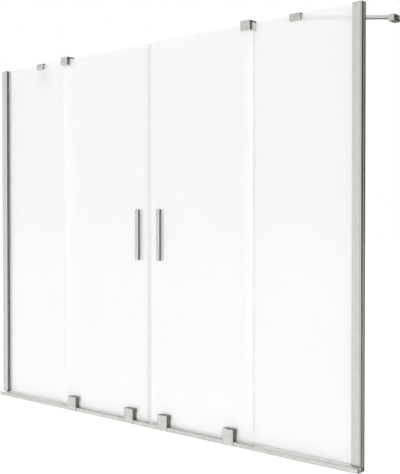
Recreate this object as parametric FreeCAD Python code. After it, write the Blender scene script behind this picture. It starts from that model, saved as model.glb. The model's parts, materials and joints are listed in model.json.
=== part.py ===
"""Four-part sliding bath screen for an alcove bath: two fixed outer panes, two sliding doors that
meet in the middle, a low bottom rail, two wall profiles and two stabiliser rods.

Millimetres. X runs along the rail and is 0 at its middle, Y runs from the room into the bath and is
0 at the rail's middle, and Z is 0 at the rail's underside. Every sub-part is drawn on the left, with
its distance measured from the left wall, and the right one is its mirror image."""

import FreeCAD, Part
import math
import os

from FreeCAD import Vector

# ---- driving dimensions -------------------------------------------------------------------------
SCREEN_WIDTH = 1900.0
SCREEN_HEIGHT = 1504.0
GLASS_THICKNESS = 6.0
GLASS_EDGE_CHAMFER = 0.6
RUNNING_GAP = 0.5

RAIL_DEPTH = 43.0
RAIL_HEIGHT = 16.0
RAIL_WALL = 2.0
POCKET_WALL = 1.5
POCKET_WIDTH = 9.0
RIB_WIDTH = 3.0
RIB_TOP = 13.0
RIB_Y = -9.5
RAIL_ROUNDING = 1.0

PROFILE_FACE = 34.0
PROFILE_DEPTH = 26.0
PROFILE_WALL = 2.0
PROFILE_ROUNDING = 0.6
WALL_BASE_THICKNESS = 4.5
WALL_GROOVE_WIDTH = 9.0
WALL_GROOVE_DEPTH = 1.5
WALL_LEG_REACH = 24.0
WALL_LEG_THICKNESS = 2.0
WALL_LEG_INSET = 2.4
WALL_HOLE_RADIUS = 2.75
WALL_HOLE_HEIGHTS = (100.0, 530.0, 970.0, 1400.0)
INNER_WEB = 25.0
POCKET_MOUTH = 27.0
POCKET_LIP = 1.5
CAP_THICKNESS = 1.5
CAP_PLUG_DEPTH = 8.0
CAP_PLUG_CLEARANCE = 0.2
GASKET_THICKNESS = 1.3
LOCK_SCREW_HEIGHTS = (120.0, 750.0, 1380.0)
LOCK_SCREW_FROM_WALL = 15.0
LOCK_SCREW_RADIUS = 1.9
LOCK_HEAD_RADIUS = 3.5
LOCK_HEAD_HEIGHT = 2.0
LOCK_HEAD_ROUNDING = 1.0
LOCK_SLOT_WIDTH = 1.0
LOCK_SLOT_DEPTH = 1.0

DOOR_FRONT_Y = 0.5
PANE_GAP = 6.0
DOOR_OUTER_EDGE = 436.5
DOOR_MEETING_EDGE = 940.0
DOOR_BOTTOM = 14.0
DOOR_TOP = 1500.5
PANE_INNER_EDGE = 475.0
PANE_OUTER_EDGE = 28.5
PANE_BOTTOM = 4.0
DOOR_TRAVEL = 380.0

HANDLE_FROM_WALL = 892.0
HANDLE_MIDDLE_Z = 753.0
HANDLE_LENGTH = 200.0
HANDLE_WIDTH = 17.5
HANDLE_DEPTH = 10.5
HANDLE_ROUNDING = 1.2
HANDLE_SCREW_SPACING = 144.0
HANDLE_SCREW_RADIUS = 3.0
HANDLE_SCREW_HEAD_RADIUS = 5.0
HANDLE_SCREW_HEAD_DEPTH = 3.5
HANDLE_HEAD_RECESS = 0.5
HANDLE_SOCKET_RADIUS = 2.3
HANDLE_SOCKET_DEPTH = 2.0
HANDLE_FRONT_SKIN = 3.0
BUSH_RADIUS = 6.0
BUSH_FLANGE_RADIUS = 8.0
BUSH_FLANGE_THICKNESS = 0.5

CARRIAGE_WIDTH = 49.5
CARRIAGE_TOP = 59.5
CARRIAGE_FRONT_Y = -24.0
CARRIAGE_BACK_Y = -2.0
CARRIAGE_SKIRT_THICKNESS = 2.0
CARRIAGE_SKIRT_BOTTOM = 0.5
CARRIAGE_ROUNDING = 1.0
CARRIAGE_ABOVE_RAIL = 1.0
INNER_CARRIAGE_FROM_WALL = 857.0
OUTER_CARRIAGE_FROM_WALL = {"left": 512.0, "right": 531.5}
CARRIAGE_SCREW_SPACING = 30.0
CARRIAGE_SCREW_Z = 50.0
CARRIAGE_SCREW_RADIUS = 2.5
CARRIAGE_SCREW_HEAD_RADIUS = 4.8
CARRIAGE_SCREW_END_Y = -13.0
CARRIAGE_SOCKET_RADIUS = 1.9
CARRIAGE_SOCKET_DEPTH = 1.6
CLAMP_PLATE_WIDTH = 46.0
CLAMP_PLATE_BOTTOM = 39.5
CLAMP_PLATE_THICKNESS = 4.0
CLAMP_PLATE_ROUNDING = 2.0
CLAMP_BOSS_RADIUS = 5.8
CARRIAGE_GLASS_HOLE_RADIUS = 6.0

ROLLER_TREAD_RADIUS = 12.0
ROLLER_FLANGE_RADIUS = 13.5
ROLLER_WIDTH = 9.0
ROLLER_GROOVE_WIDTH = 4.4
ROLLER_TREAD_GAP = 0.25
ROLLER_GROOVE_SLOPE = 0.5
ROLLER_HUB_RADIUS = 5.0
ROLLER_RIM_RADIUS = 9.5
ROLLER_WEB_THICKNESS = 4.0
ROLLER_RADIAL_ROOM = 1.5
ROLLER_SIDE_ROOM = 0.8
AXLE_RADIUS = 2.5
AXLE_RUNNING_CLEARANCE = 0.05
AXLE_FRONT_Y = -21.0

GUIDE_FROM_WALL = 458.5
GUIDE_WIDTH = 42.0
GUIDE_FRONT_Y = -17.2
GUIDE_BLOCK_DEPTH = 14.7
GUIDE_BOTTOM = 1476.0
GUIDE_TOP = 1511.0
GUIDE_PLATE_THICKNESS = 5.5
GUIDE_LEG_THICKNESS = 3.5
GUIDE_ROUNDING = 1.0
GUIDE_SCREW_Z = GUIDE_BOTTOM + 10.0
GUIDE_SCREW_OFFSET = 12.0
LINER_CLEARANCE = 0.3
LINER_INSET = 0.5
LINER_BOTTOM = GUIDE_BOTTOM + 1.0

ROD_CLAMP_FROM_WALL = 264.0
ROD_CLAMP_WIDTH = 46.0
ROD_CLAMP_BOTTOM = 1484.0
ROD_CLAMP_TOP = 1508.5
ROD_CLAMP_LEG = 4.0
ROD_CLAMP_BACK_LEG = 2.0
ROD_CLAMP_BRIDGE = 4.0
ROD_CLAMP_ROUNDING = 0.8
CLAMP_SCREW_Z = ROD_CLAMP_BOTTOM + 3.5
CLAMP_SCREW_OFFSET = 16.0
ROD_LOCK_AT_CLAMP = 12.0
ROD_LOCK_AT_WALL = 8.0
ROD_BLOCK_BACK_Y = 38.0
ROD_BLOCK_TOP = 1503.0
CLAMP_PAD_FRONT = 1.0
CLAMP_PAD_BACK = 1.5
CLAMP_PAD_INSET = 1.0

ROD_WIDTH = 20.0
ROD_BOTTOM = 1491.0
ROD_TOP = 1501.0
ROD_ROUNDING = 0.8
ROD_START = (264.6, 21.5)
ROD_END = (10.0, 233.2)
BRACKET_REACH = 22.0
BRACKET_FRONT_Y = 207.5
BRACKET_WIDTH = 42.0
BRACKET_BOTTOM = 1480.5
BRACKET_TOP = 1502.5
BRACKET_ROUNDING = 1.0
BRACKET_SCREW_SPACING = 24.0
BRACKET_SCREW_Z = 1485.5
BRACKET_SCREW_RADIUS = 2.25
BRACKET_SINK_RADIUS = 4.2
BRACKET_RECESS_DEPTH = 2.0
BRACKET_RECESS_MARGIN = 3.0
BRACKET_RECESS_BOTTOM = BRACKET_SCREW_Z + 5.0

GRUB_RADIUS = 2.0
GRUB_SOCKET_RADIUS = 1.0
GRUB_SOCKET_DEPTH = 2.0
GRUB_RECESS = 0.5
SEAL_LEG = 0.8
SEAL_CLIP = 8.0
FIN_CLEARANCE = 0.3
DRIP_CLIP_HEIGHT = 7.0
DRIP_FIN_INSET = 2.0
DRIP_FIN_THICKNESS = 1.0
DRIP_FIN_BOTTOM = 6.0
SEAL_BOTTOM = 64.0
SEAL_TOP = 1472.0
MEETING_SEAL_BOTTOM = 24.0
MEETING_SEAL_TOP = 1499.0
MAGNET_THICKNESS = 5.0
MAGNET_WALL = 0.5
MEETING_GAP = 0.5
STOP_LENGTH = 20.0
STOP_WIDTH = 11.0
STOP_TOP = 16.0
SPLASH_LEG = 1.6
SPLASH_BOTTOM = 12.0
SPLASH_CROWN = 1.0
SPLASH_END_GAP = 1.0

# ---- sizes worked out from the driving dimensions -------------------------------------------------
WALL_X = -SCREEN_WIDTH / 2
RAIL_FRONT_Y = -RAIL_DEPTH / 2
RAIL_BACK_Y = RAIL_DEPTH / 2
POCKET_BACK_Y = RAIL_BACK_Y - POCKET_WALL
POCKET_FRONT_Y = POCKET_BACK_Y - POCKET_WIDTH
PROFILE_FRONT_Y = RAIL_BACK_Y - PROFILE_DEPTH
DOOR_BACK_Y = DOOR_FRONT_Y + GLASS_THICKNESS
PANE_FRONT_Y = DOOR_BACK_Y + PANE_GAP
PANE_BACK_Y = PANE_FRONT_Y + GLASS_THICKNESS
CHANNEL_BACK_Y = PROFILE_FRONT_Y + PROFILE_DEPTH
GASKET_FRONT_Y = PANE_FRONT_Y - GASKET_THICKNESS
PROFILE_MIDDLE_Y = PROFILE_FRONT_Y + PROFILE_DEPTH / 2
PROFILE_TOP = SCREEN_HEIGHT - CAP_THICKNESS
ROLLER_AXIS_Z = RIB_TOP + ROLLER_TREAD_GAP + ROLLER_TREAD_RADIUS
CLAMP_PLATE_BACK_Y = DOOR_BACK_Y + CLAMP_PLATE_THICKNESS
CARRIAGE_HEAD_DEPTH = CARRIAGE_SCREW_HEAD_RADIUS - CARRIAGE_SCREW_RADIUS
CLAMP_BACK_FACE_Y = PANE_BACK_Y + CLAMP_PAD_BACK
GUIDE_BACK_Y = CLAMP_BACK_FACE_Y + GUIDE_LEG_THICKNESS
GUIDE_PLATE_BOTTOM = GUIDE_TOP - GUIDE_PLATE_THICKNESS
HANDLE_INNER_BACK_Y = DOOR_BACK_Y + BUSH_FLANGE_THICKNESS + HANDLE_DEPTH
HANDLE_OUTER_FRONT_Y = DOOR_FRONT_Y - BUSH_FLANGE_THICKNESS - HANDLE_DEPTH

X_AXIS, Y_AXIS, Z_AXIS = Vector(1, 0, 0), Vector(0, 1, 0), Vector(0, 0, 1)


# ---- drawing helpers ----------------------------------------------------------------------------
def block(from_wall, y, z):
    """A box between two distances from the left wall, two Y values and two Z values."""
    size = [high - low for low, high in (from_wall, y, z)]
    return Part.makeBox(*size, Vector(WALL_X + from_wall[0], y[0], z[0]))


def pin(radius, from_wall, y, z, axis, length):
    """A round bar that starts at a point and runs along an axis."""
    return Part.makeCylinder(radius, length, Vector(WALL_X + from_wall, y, z), axis)


def cone(first_radius, second_radius, from_wall, y, z, axis, length):
    """A countersink or a countersunk head."""
    start = Vector(WALL_X + from_wall, y, z)
    return Part.makeCone(first_radius, second_radius, length, start, axis)


def extruded(outline, direction):
    """A prism on a closed outline of corner points."""
    return Part.Face(Part.makePolygon(outline + outline[:1])).extrude(direction)


def rounded(shape, radius, chosen):
    """The shape with the edges that the test picks rounded."""
    return shape.makeFillet(radius, [edge for edge in shape.Edges if chosen(edge)])


def runs_along(axis, straightness=0.999):
    """A test for straight edges that are parallel to an axis."""

    def test(edge):
        if edge.Curve.TypeId != "Part::GeomLine":
            return False
        return abs(edge.tangentAt(edge.FirstParameter).dot(axis)) > straightness

    return test


def lies_on(axis, value, tolerance=0.01):
    """A test for edges that lie in the plane where one coordinate has this value."""

    def test(edge):
        return all(abs(v.Point.dot(axis) - value) < tolerance for v in edge.Vertexes)

    return test


def both(first, second):
    """A test that needs two tests to hold."""
    return lambda edge: first(edge) and second(edge)


def on_side(side, shape):
    """The shape as drawn for the left, or its mirror image for the right."""
    return shape if side == "left" else shape.mirror(Vector(0, 0, 0), X_AXIS)


def save(node, solids):
    """One STEP file for a node, from its solid or its group of separate solids."""
    solids = solids if isinstance(solids, list) else [solids]
    solids = [solid for shape in solids for solid in shape.Solids]
    shape = solids[0] if len(solids) == 1 else Part.makeCompound(solids)
    shape.exportStep(f"parts/{node}.step")
    print(f"{node:28s} {len(solids):3d} solids {shape.Volume / 1000:9.2f} cm3 valid {shape.isValid()}")


# ---- bottom rail --------------------------------------------------------------------------------
def bottom_rail():
    """An open extrusion: a trough with the running rib in front, a glazing pocket behind."""
    mid_wall_y = POCKET_FRONT_Y - POCKET_WALL
    rib_low, rib_high = RIB_Y - RIB_WIDTH / 2, RIB_Y + RIB_WIDTH / 2
    rib_shoulder = RIB_TOP - RIB_WIDTH / 2
    section = [
        (RAIL_FRONT_Y, 0),
        (RAIL_FRONT_Y, RAIL_HEIGHT),
        (RAIL_FRONT_Y + RAIL_WALL, RAIL_HEIGHT),
        (RAIL_FRONT_Y + RAIL_WALL, RAIL_WALL),
        (mid_wall_y, RAIL_WALL),
        (mid_wall_y, RAIL_HEIGHT),
        (POCKET_FRONT_Y, RAIL_HEIGHT),
        (POCKET_FRONT_Y, RAIL_WALL),
        (POCKET_BACK_Y, RAIL_WALL),
        (POCKET_BACK_Y, RAIL_HEIGHT),
        (RAIL_BACK_Y, RAIL_HEIGHT),
        (RAIL_BACK_Y, 0),
    ]
    rail = extruded([Vector(WALL_X, y, z) for y, z in section], X_AXIS * SCREEN_WIDTH)
    rib = block((0, SCREEN_WIDTH), (rib_low, rib_high), (RAIL_WALL, rib_shoulder))
    crown = pin(RIB_WIDTH / 2, 0, RIB_Y, rib_shoulder, X_AXIS, SCREEN_WIDTH)
    rail = rail.fuse([rib, crown]).removeSplitter()
    front_rim = both(lies_on(Y_AXIS, RAIL_FRONT_Y), lies_on(Z_AXIS, RAIL_HEIGHT))
    back_rim = both(lies_on(Y_AXIS, RAIL_BACK_Y), lies_on(Z_AXIS, RAIL_HEIGHT))
    return rounded(rail, RAIL_ROUNDING, lambda edge: front_rim(edge) or back_rim(edge))


def splash_seal():
    """The vinyl strip on the rail's middle wall that closes the gap behind the doors."""
    x = (PROFILE_FACE + SPLASH_END_GAP, SCREEN_WIDTH - PROFILE_FACE - SPLASH_END_GAP)
    wall_y = POCKET_FRONT_Y - POCKET_WALL
    crown_top = RAIL_HEIGHT + SPLASH_CROWN
    leg = block(x, (wall_y - SPLASH_LEG, wall_y), (SPLASH_BOTTOM, crown_top))
    crown = block(x, (wall_y - SPLASH_LEG, POCKET_FRONT_Y), (RAIL_HEIGHT, crown_top))
    return leg.fuse(crown).removeSplitter()


def track_stop(side):
    """A block that straddles the rib where the outer roller ends its run."""
    drop = ROLLER_AXIS_Z - STOP_TOP
    half_chord = math.sqrt(ROLLER_FLANGE_RADIUS**2 - drop**2)
    roller_open = OUTER_CARRIAGE_FROM_WALL[side] - DOOR_TRAVEL
    face = roller_open - half_chord - RUNNING_GAP
    width = (RIB_Y - STOP_WIDTH / 2, RIB_Y + STOP_WIDTH / 2)
    stop = block((face - STOP_LENGTH, face), width, (RAIL_WALL, STOP_TOP))
    slot_y = (RIB_Y - RIB_WIDTH / 2, RIB_Y + RIB_WIDTH / 2)
    slot = block((face - STOP_LENGTH, face), slot_y, (RAIL_WALL, RIB_TOP))
    return stop.cut(slot)


# ---- wall profiles ------------------------------------------------------------------------------
def wall_channel():
    """The profile that is screwed to the wall: a base with a sealant groove and two legs."""
    z = (RAIL_HEIGHT, PROFILE_TOP)
    base = block((0, WALL_BASE_THICKNESS), (PROFILE_FRONT_Y, CHANNEL_BACK_Y), z)
    room_edges = both(runs_along(Z_AXIS), lies_on(X_AXIS, WALL_X + WALL_BASE_THICKNESS))
    base = rounded(base, PROFILE_ROUNDING, room_edges)
    reach = (WALL_BASE_THICKNESS, WALL_LEG_REACH)
    front_y = PROFILE_FRONT_Y + WALL_LEG_INSET
    back_y = CHANNEL_BACK_Y - WALL_LEG_INSET
    front_leg = block(reach, (front_y, front_y + WALL_LEG_THICKNESS), z)
    back_leg = block(reach, (back_y - WALL_LEG_THICKNESS, back_y), z)
    half_groove = WALL_GROOVE_WIDTH / 2
    groove_y = (PROFILE_MIDDLE_Y - half_groove, PROFILE_MIDDLE_Y + half_groove)
    groove = block((0, WALL_GROOVE_DEPTH), groove_y, z)
    channel = base.fuse([front_leg, back_leg]).cut(groove)
    for height in WALL_HOLE_HEIGHTS:
        hole = pin(WALL_HOLE_RADIUS, 0, PROFILE_MIDDLE_Y, height, X_AXIS, WALL_BASE_THICKNESS)
        channel = channel.cut(hole)
    for height in LOCK_SCREW_HEIGHTS:
        start_y = back_y - WALL_LEG_THICKNESS
        hole = pin(LOCK_SCREW_RADIUS, LOCK_SCREW_FROM_WALL, start_y, height, Y_AXIS, WALL_LEG_THICKNESS)
        channel = channel.cut(hole)
    return channel.removeSplitter()


def pane_channel():
    """The profile that slides over the wall channel and grips the fixed pane's edge."""
    z = (RAIL_HEIGHT, PROFILE_TOP)
    start = WALL_BASE_THICKNESS + RUNNING_GAP
    body = block((start, PROFILE_FACE), (PROFILE_FRONT_Y, CHANNEL_BACK_Y), z)
    pane_edges = both(runs_along(Z_AXIS), lies_on(X_AXIS, WALL_X + PROFILE_FACE))
    body = rounded(body, PROFILE_ROUNDING, pane_edges)
    inner_y = (PROFILE_FRONT_Y + PROFILE_WALL, CHANNEL_BACK_Y - PROFILE_WALL)
    wall_side = block((start, INNER_WEB), inner_y, z)
    pocket_wall_y = GASKET_FRONT_Y - POCKET_LIP
    box_hollow = block((POCKET_MOUTH, PROFILE_FACE - POCKET_LIP), (inner_y[0], pocket_wall_y), z)
    pocket = block((POCKET_MOUTH, PROFILE_FACE), (pocket_wall_y + POCKET_LIP, inner_y[1]), z)
    channel = body.cut([wall_side, box_hollow, pocket])
    for height in LOCK_SCREW_HEIGHTS:
        start_y = CHANNEL_BACK_Y - PROFILE_WALL
        hole = pin(LOCK_SCREW_RADIUS, LOCK_SCREW_FROM_WALL, start_y, height, Y_AXIS, PROFILE_WALL)
        channel = channel.cut(hole)
    return channel.removeSplitter()


def channel_cap():
    """A plate that closes the top of both profiles, with a plug in the hollow in front of the glass."""
    cap = block((0, PROFILE_FACE), (PROFILE_FRONT_Y, CHANNEL_BACK_Y), (PROFILE_TOP, SCREEN_HEIGHT))
    cap = rounded(cap, PROFILE_ROUNDING, lies_on(Z_AXIS, SCREEN_HEIGHT))
    notch_y = (GASKET_FRONT_Y, CHANNEL_BACK_Y - PROFILE_WALL)
    notch = block((POCKET_MOUTH, PROFILE_FACE), notch_y, (PROFILE_TOP, SCREEN_HEIGHT))
    gap = CAP_PLUG_CLEARANCE
    plug_x = (POCKET_MOUTH + gap, PROFILE_FACE - POCKET_LIP - gap)
    plug_y = (PROFILE_FRONT_Y + PROFILE_WALL + gap, GASKET_FRONT_Y - POCKET_LIP - gap)
    plug = block(plug_x, plug_y, (PROFILE_TOP - CAP_PLUG_DEPTH, PROFILE_TOP))
    return cap.cut(notch).fuse(plug).removeSplitter()


def channel_lock_screw(height):
    """A pan-head screw from the bath side that locks the two profiles together."""
    place = LOCK_SCREW_FROM_WALL
    length = WALL_LEG_INSET + WALL_LEG_THICKNESS
    shank = pin(LOCK_SCREW_RADIUS, place, CHANNEL_BACK_Y - length, height, Y_AXIS, length)
    head_top = CHANNEL_BACK_Y + LOCK_HEAD_HEIGHT
    head = pin(LOCK_HEAD_RADIUS, place, CHANNEL_BACK_Y, height, Y_AXIS, LOCK_HEAD_HEIGHT)
    head = rounded(head, LOCK_HEAD_ROUNDING, lies_on(Y_AXIS, head_top))
    slot = block(
        (place - LOCK_HEAD_RADIUS, place + LOCK_HEAD_RADIUS),
        (head_top - LOCK_SLOT_DEPTH, head_top),
        (height - LOCK_SLOT_WIDTH / 2, height + LOCK_SLOT_WIDTH / 2),
    )
    return shank.fuse(head).cut(slot).removeSplitter()


# ---- panes --------------------------------------------------------------------------------------
def glass(from_wall, y, z):
    """A toughened pane with every edge ground to a small chamfer."""
    pane = block(from_wall, y, z)
    return pane.makeChamfer(GLASS_EDGE_CHAMFER, pane.Edges)


def fixed_pane():
    """The fixed pane, seated in the rail's pocket and in the pane channel."""
    edges = (PANE_OUTER_EDGE, PANE_INNER_EDGE)
    return glass(edges, (PANE_FRONT_Y, PANE_BACK_Y), (PANE_BOTTOM, SCREEN_HEIGHT))


def pane_gasket():
    """One length of gasket that wraps the pane's wall edge and its bottom edge."""
    pocket_y = (GASKET_FRONT_Y, CHANNEL_BACK_Y - PROFILE_WALL)
    upright = block((POCKET_MOUTH, PROFILE_FACE), pocket_y, (RAIL_HEIGHT, PROFILE_TOP))
    rail_y = (POCKET_FRONT_Y, POCKET_BACK_Y)
    foot = block((POCKET_MOUTH, PANE_INNER_EDGE), rail_y, (RAIL_WALL, RAIL_HEIGHT))
    seat_z = (PANE_BOTTOM, SCREEN_HEIGHT)
    seat = block((PANE_OUTER_EDGE, PANE_INNER_EDGE), (PANE_FRONT_Y, PANE_BACK_Y), seat_z)
    return upright.fuse(foot).cut(seat).removeSplitter()


def fixed_pane_seal():
    """A clip-on strip on the fixed pane's free edge, with a fin that brushes the door's back."""
    clip = (PANE_INNER_EDGE - SEAL_CLIP, PANE_INNER_EDGE + SEAL_LEG)
    z = (SEAL_BOTTOM, SEAL_TOP)
    body = block(clip, (PANE_FRONT_Y - SEAL_LEG, PANE_BACK_Y + SEAL_LEG), z)
    seat = block((clip[0], PANE_INNER_EDGE), (PANE_FRONT_Y, PANE_BACK_Y), z)
    fin_x = (PANE_INNER_EDGE + SEAL_LEG, PANE_INNER_EDGE + 2 * SEAL_LEG)
    fin = block(fin_x, (DOOR_BACK_Y + FIN_CLEARANCE, PANE_BACK_Y), z)
    return body.cut(seat).fuse(fin).removeSplitter()


def carriage_places(side):
    """Each carriage's name and its distance from the wall on its own side."""
    return {"outer": OUTER_CARRIAGE_FROM_WALL[side], "inner": INNER_CARRIAGE_FROM_WALL}


def screw_places(from_wall):
    """The two clamping screws of a carriage."""
    return [from_wall - CARRIAGE_SCREW_SPACING / 2, from_wall + CARRIAGE_SCREW_SPACING / 2]


def handle_screw_heights():
    """The two screws that pull a pair of handle bars together."""
    return [HANDLE_MIDDLE_Z - HANDLE_SCREW_SPACING / 2, HANDLE_MIDDLE_Z + HANDLE_SCREW_SPACING / 2]


def door_pane(side):
    """A sliding pane with holes for its carriages and its handle."""
    edges = (DOOR_OUTER_EDGE, DOOR_MEETING_EDGE)
    pane = glass(edges, (DOOR_FRONT_Y, DOOR_BACK_Y), (DOOR_BOTTOM, DOOR_TOP))
    front_y, depth = DOOR_FRONT_Y, GLASS_THICKNESS
    for place in carriage_places(side).values():
        for screw in screw_places(place):
            radius = CARRIAGE_GLASS_HOLE_RADIUS
            pane = pane.cut(pin(radius, screw, front_y, CARRIAGE_SCREW_Z, Y_AXIS, depth))
    for height in handle_screw_heights():
        pane = pane.cut(pin(BUSH_RADIUS, HANDLE_FROM_WALL, front_y, height, Y_AXIS, depth))
    return pane


def door_edge_seal():
    """The seal on the door's outer edge, whose fin closes the gap to the fixed pane."""
    z = (SEAL_BOTTOM, SEAL_TOP)
    clip = (DOOR_OUTER_EDGE - SEAL_LEG, DOOR_OUTER_EDGE + SEAL_CLIP)
    body = block(clip, (DOOR_FRONT_Y - SEAL_LEG, DOOR_BACK_Y + SEAL_LEG), z)
    seat = block((DOOR_OUTER_EDGE, clip[1]), (DOOR_FRONT_Y, DOOR_BACK_Y), z)
    fin_x = (DOOR_OUTER_EDGE - 2 * SEAL_LEG, DOOR_OUTER_EDGE - SEAL_LEG)
    fin = block(fin_x, (DOOR_FRONT_Y, PANE_FRONT_Y - FIN_CLEARANCE), z)
    return body.cut(seat).fuse(fin).removeSplitter()


def magnet_limits():
    """The magnet's pocket in the meeting seal, as distances from the wall and Y values."""
    face = SCREEN_WIDTH / 2 - MEETING_GAP - SEAL_LEG
    return (face - MAGNET_THICKNESS, face), (DOOR_FRONT_Y + MAGNET_WALL, DOOR_BACK_Y - MAGNET_WALL)


def magnet_seal():
    """The meeting seal: a clip on the glass and a hollow nose for the magnet."""
    z = (MEETING_SEAL_BOTTOM, MEETING_SEAL_TOP)
    legs = (DOOR_MEETING_EDGE - SEAL_CLIP, DOOR_MEETING_EDGE)
    y = (DOOR_FRONT_Y - SEAL_LEG, DOOR_BACK_Y + SEAL_LEG)
    body = block((legs[0], SCREEN_WIDTH / 2 - MEETING_GAP), y, z)
    seat = block(legs, (DOOR_FRONT_Y, DOOR_BACK_Y), z)
    pocket_x, pocket_y = magnet_limits()
    return body.cut([seat, block(pocket_x, pocket_y, z)])


def magnet_strip():
    """The magnetic strip that holds the doors together."""
    pocket_x, pocket_y = magnet_limits()
    return block(pocket_x, pocket_y, (MEETING_SEAL_BOTTOM, MEETING_SEAL_TOP))


def drip_seal():
    """The clip-on seal under the door, which hangs into the rail's trough."""
    x = (DOOR_OUTER_EDGE, DOOR_MEETING_EDGE - SEAL_CLIP)
    y = (DOOR_FRONT_Y - SEAL_LEG, DOOR_BACK_Y + SEAL_LEG)
    clip_top = DOOR_BOTTOM + DRIP_CLIP_HEIGHT
    body = block(x, y, (DOOR_BOTTOM - SEAL_LEG, clip_top))
    seat = block(x, (DOOR_FRONT_Y, DOOR_BACK_Y), (DOOR_BOTTOM, clip_top))
    fin_front = DOOR_FRONT_Y + DRIP_FIN_INSET
    fin = block(x, (fin_front, fin_front + DRIP_FIN_THICKNESS), (DRIP_FIN_BOTTOM, DOOR_BOTTOM - SEAL_LEG))
    return body.cut(seat).fuse(fin).removeSplitter()


# ---- handles ------------------------------------------------------------------------------------
def handle_bar(y):
    """One flat bar with rounded edges."""
    half = HANDLE_WIDTH / 2
    x = (HANDLE_FROM_WALL - half, HANDLE_FROM_WALL + half)
    z = (HANDLE_MIDDLE_Z - HANDLE_LENGTH / 2, HANDLE_MIDDLE_Z + HANDLE_LENGTH / 2)
    return rounded(block(x, y, z), HANDLE_ROUNDING, lambda edge: True)


def outer_handle():
    """The bar on the room side, tapped for the two screws."""
    y = (HANDLE_OUTER_FRONT_Y, DOOR_FRONT_Y - BUSH_FLANGE_THICKNESS)
    bar = handle_bar(y)
    tapped = (y[0] + HANDLE_FRONT_SKIN, y[1])
    for height in handle_screw_heights():
        hole = pin(HANDLE_SCREW_RADIUS, HANDLE_FROM_WALL, tapped[0], height, Y_AXIS, tapped[1] - tapped[0])
        bar = bar.cut(hole)
    return bar


def inner_handle():
    """The bar on the bath side, with counterbored screw holes."""
    y = (DOOR_BACK_Y + BUSH_FLANGE_THICKNESS, HANDLE_INNER_BACK_Y)
    bar = handle_bar(y)
    for height in handle_screw_heights():
        hole = pin(HANDLE_SCREW_RADIUS, HANDLE_FROM_WALL, y[0], height, Y_AXIS, HANDLE_DEPTH)
        head_y = y[1] - HANDLE_SCREW_HEAD_DEPTH
        counterbore = pin(
            HANDLE_SCREW_HEAD_RADIUS, HANDLE_FROM_WALL, head_y, height, Y_AXIS, HANDLE_SCREW_HEAD_DEPTH
        )
        bar = bar.cut([hole, counterbore])
    return bar


def handle_screw(height):
    """A socket-head screw through both bars and the glass."""
    start = HANDLE_OUTER_FRONT_Y + HANDLE_FRONT_SKIN
    head_y = HANDLE_INNER_BACK_Y - HANDLE_SCREW_HEAD_DEPTH
    shank = pin(HANDLE_SCREW_RADIUS, HANDLE_FROM_WALL, start, height, Y_AXIS, head_y - start)
    head_length = HANDLE_SCREW_HEAD_DEPTH - HANDLE_HEAD_RECESS
    head = pin(HANDLE_SCREW_HEAD_RADIUS, HANDLE_FROM_WALL, head_y, height, Y_AXIS, head_length)
    inwards = -Y_AXIS * HANDLE_SOCKET_DEPTH
    socket = hex_socket(HANDLE_FROM_WALL, head_y + head_length, height, HANDLE_SOCKET_RADIUS, inwards)
    return shank.fuse(head).cut(socket)


def hex_socket(from_wall, y, z, radius, direction):
    """A hexagonal socket that starts at a point and goes in along a direction."""
    centre = Vector(WALL_X + from_wall, y, z)
    across = X_AXIS
    aside = direction.cross(across).normalize()
    turns = [math.tau * step / 6 for step in range(6)]
    outline = [centre + across * (radius * math.cos(t)) + aside * (radius * math.sin(t)) for t in turns]
    return extruded(outline, direction)


def handle_bushes(height):
    """Two flanged bushes that keep the screw and the bars off the glass."""
    bushes = []
    half = GLASS_THICKNESS / 2
    length = half + BUSH_FLANGE_THICKNESS
    for face_y, outwards in ((DOOR_FRONT_Y, -Y_AXIS), (DOOR_BACK_Y, Y_AXIS)):
        middle_y = DOOR_FRONT_Y + half
        flange = pin(BUSH_FLANGE_RADIUS, HANDLE_FROM_WALL, face_y, height, outwards, BUSH_FLANGE_THICKNESS)
        sleeve = pin(BUSH_RADIUS, HANDLE_FROM_WALL, middle_y, height, outwards, half)
        bore = pin(HANDLE_SCREW_RADIUS, HANDLE_FROM_WALL, middle_y, height, outwards, length)
        bushes.append(flange.fuse(sleeve).cut(bore).removeSplitter())
    return bushes


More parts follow.
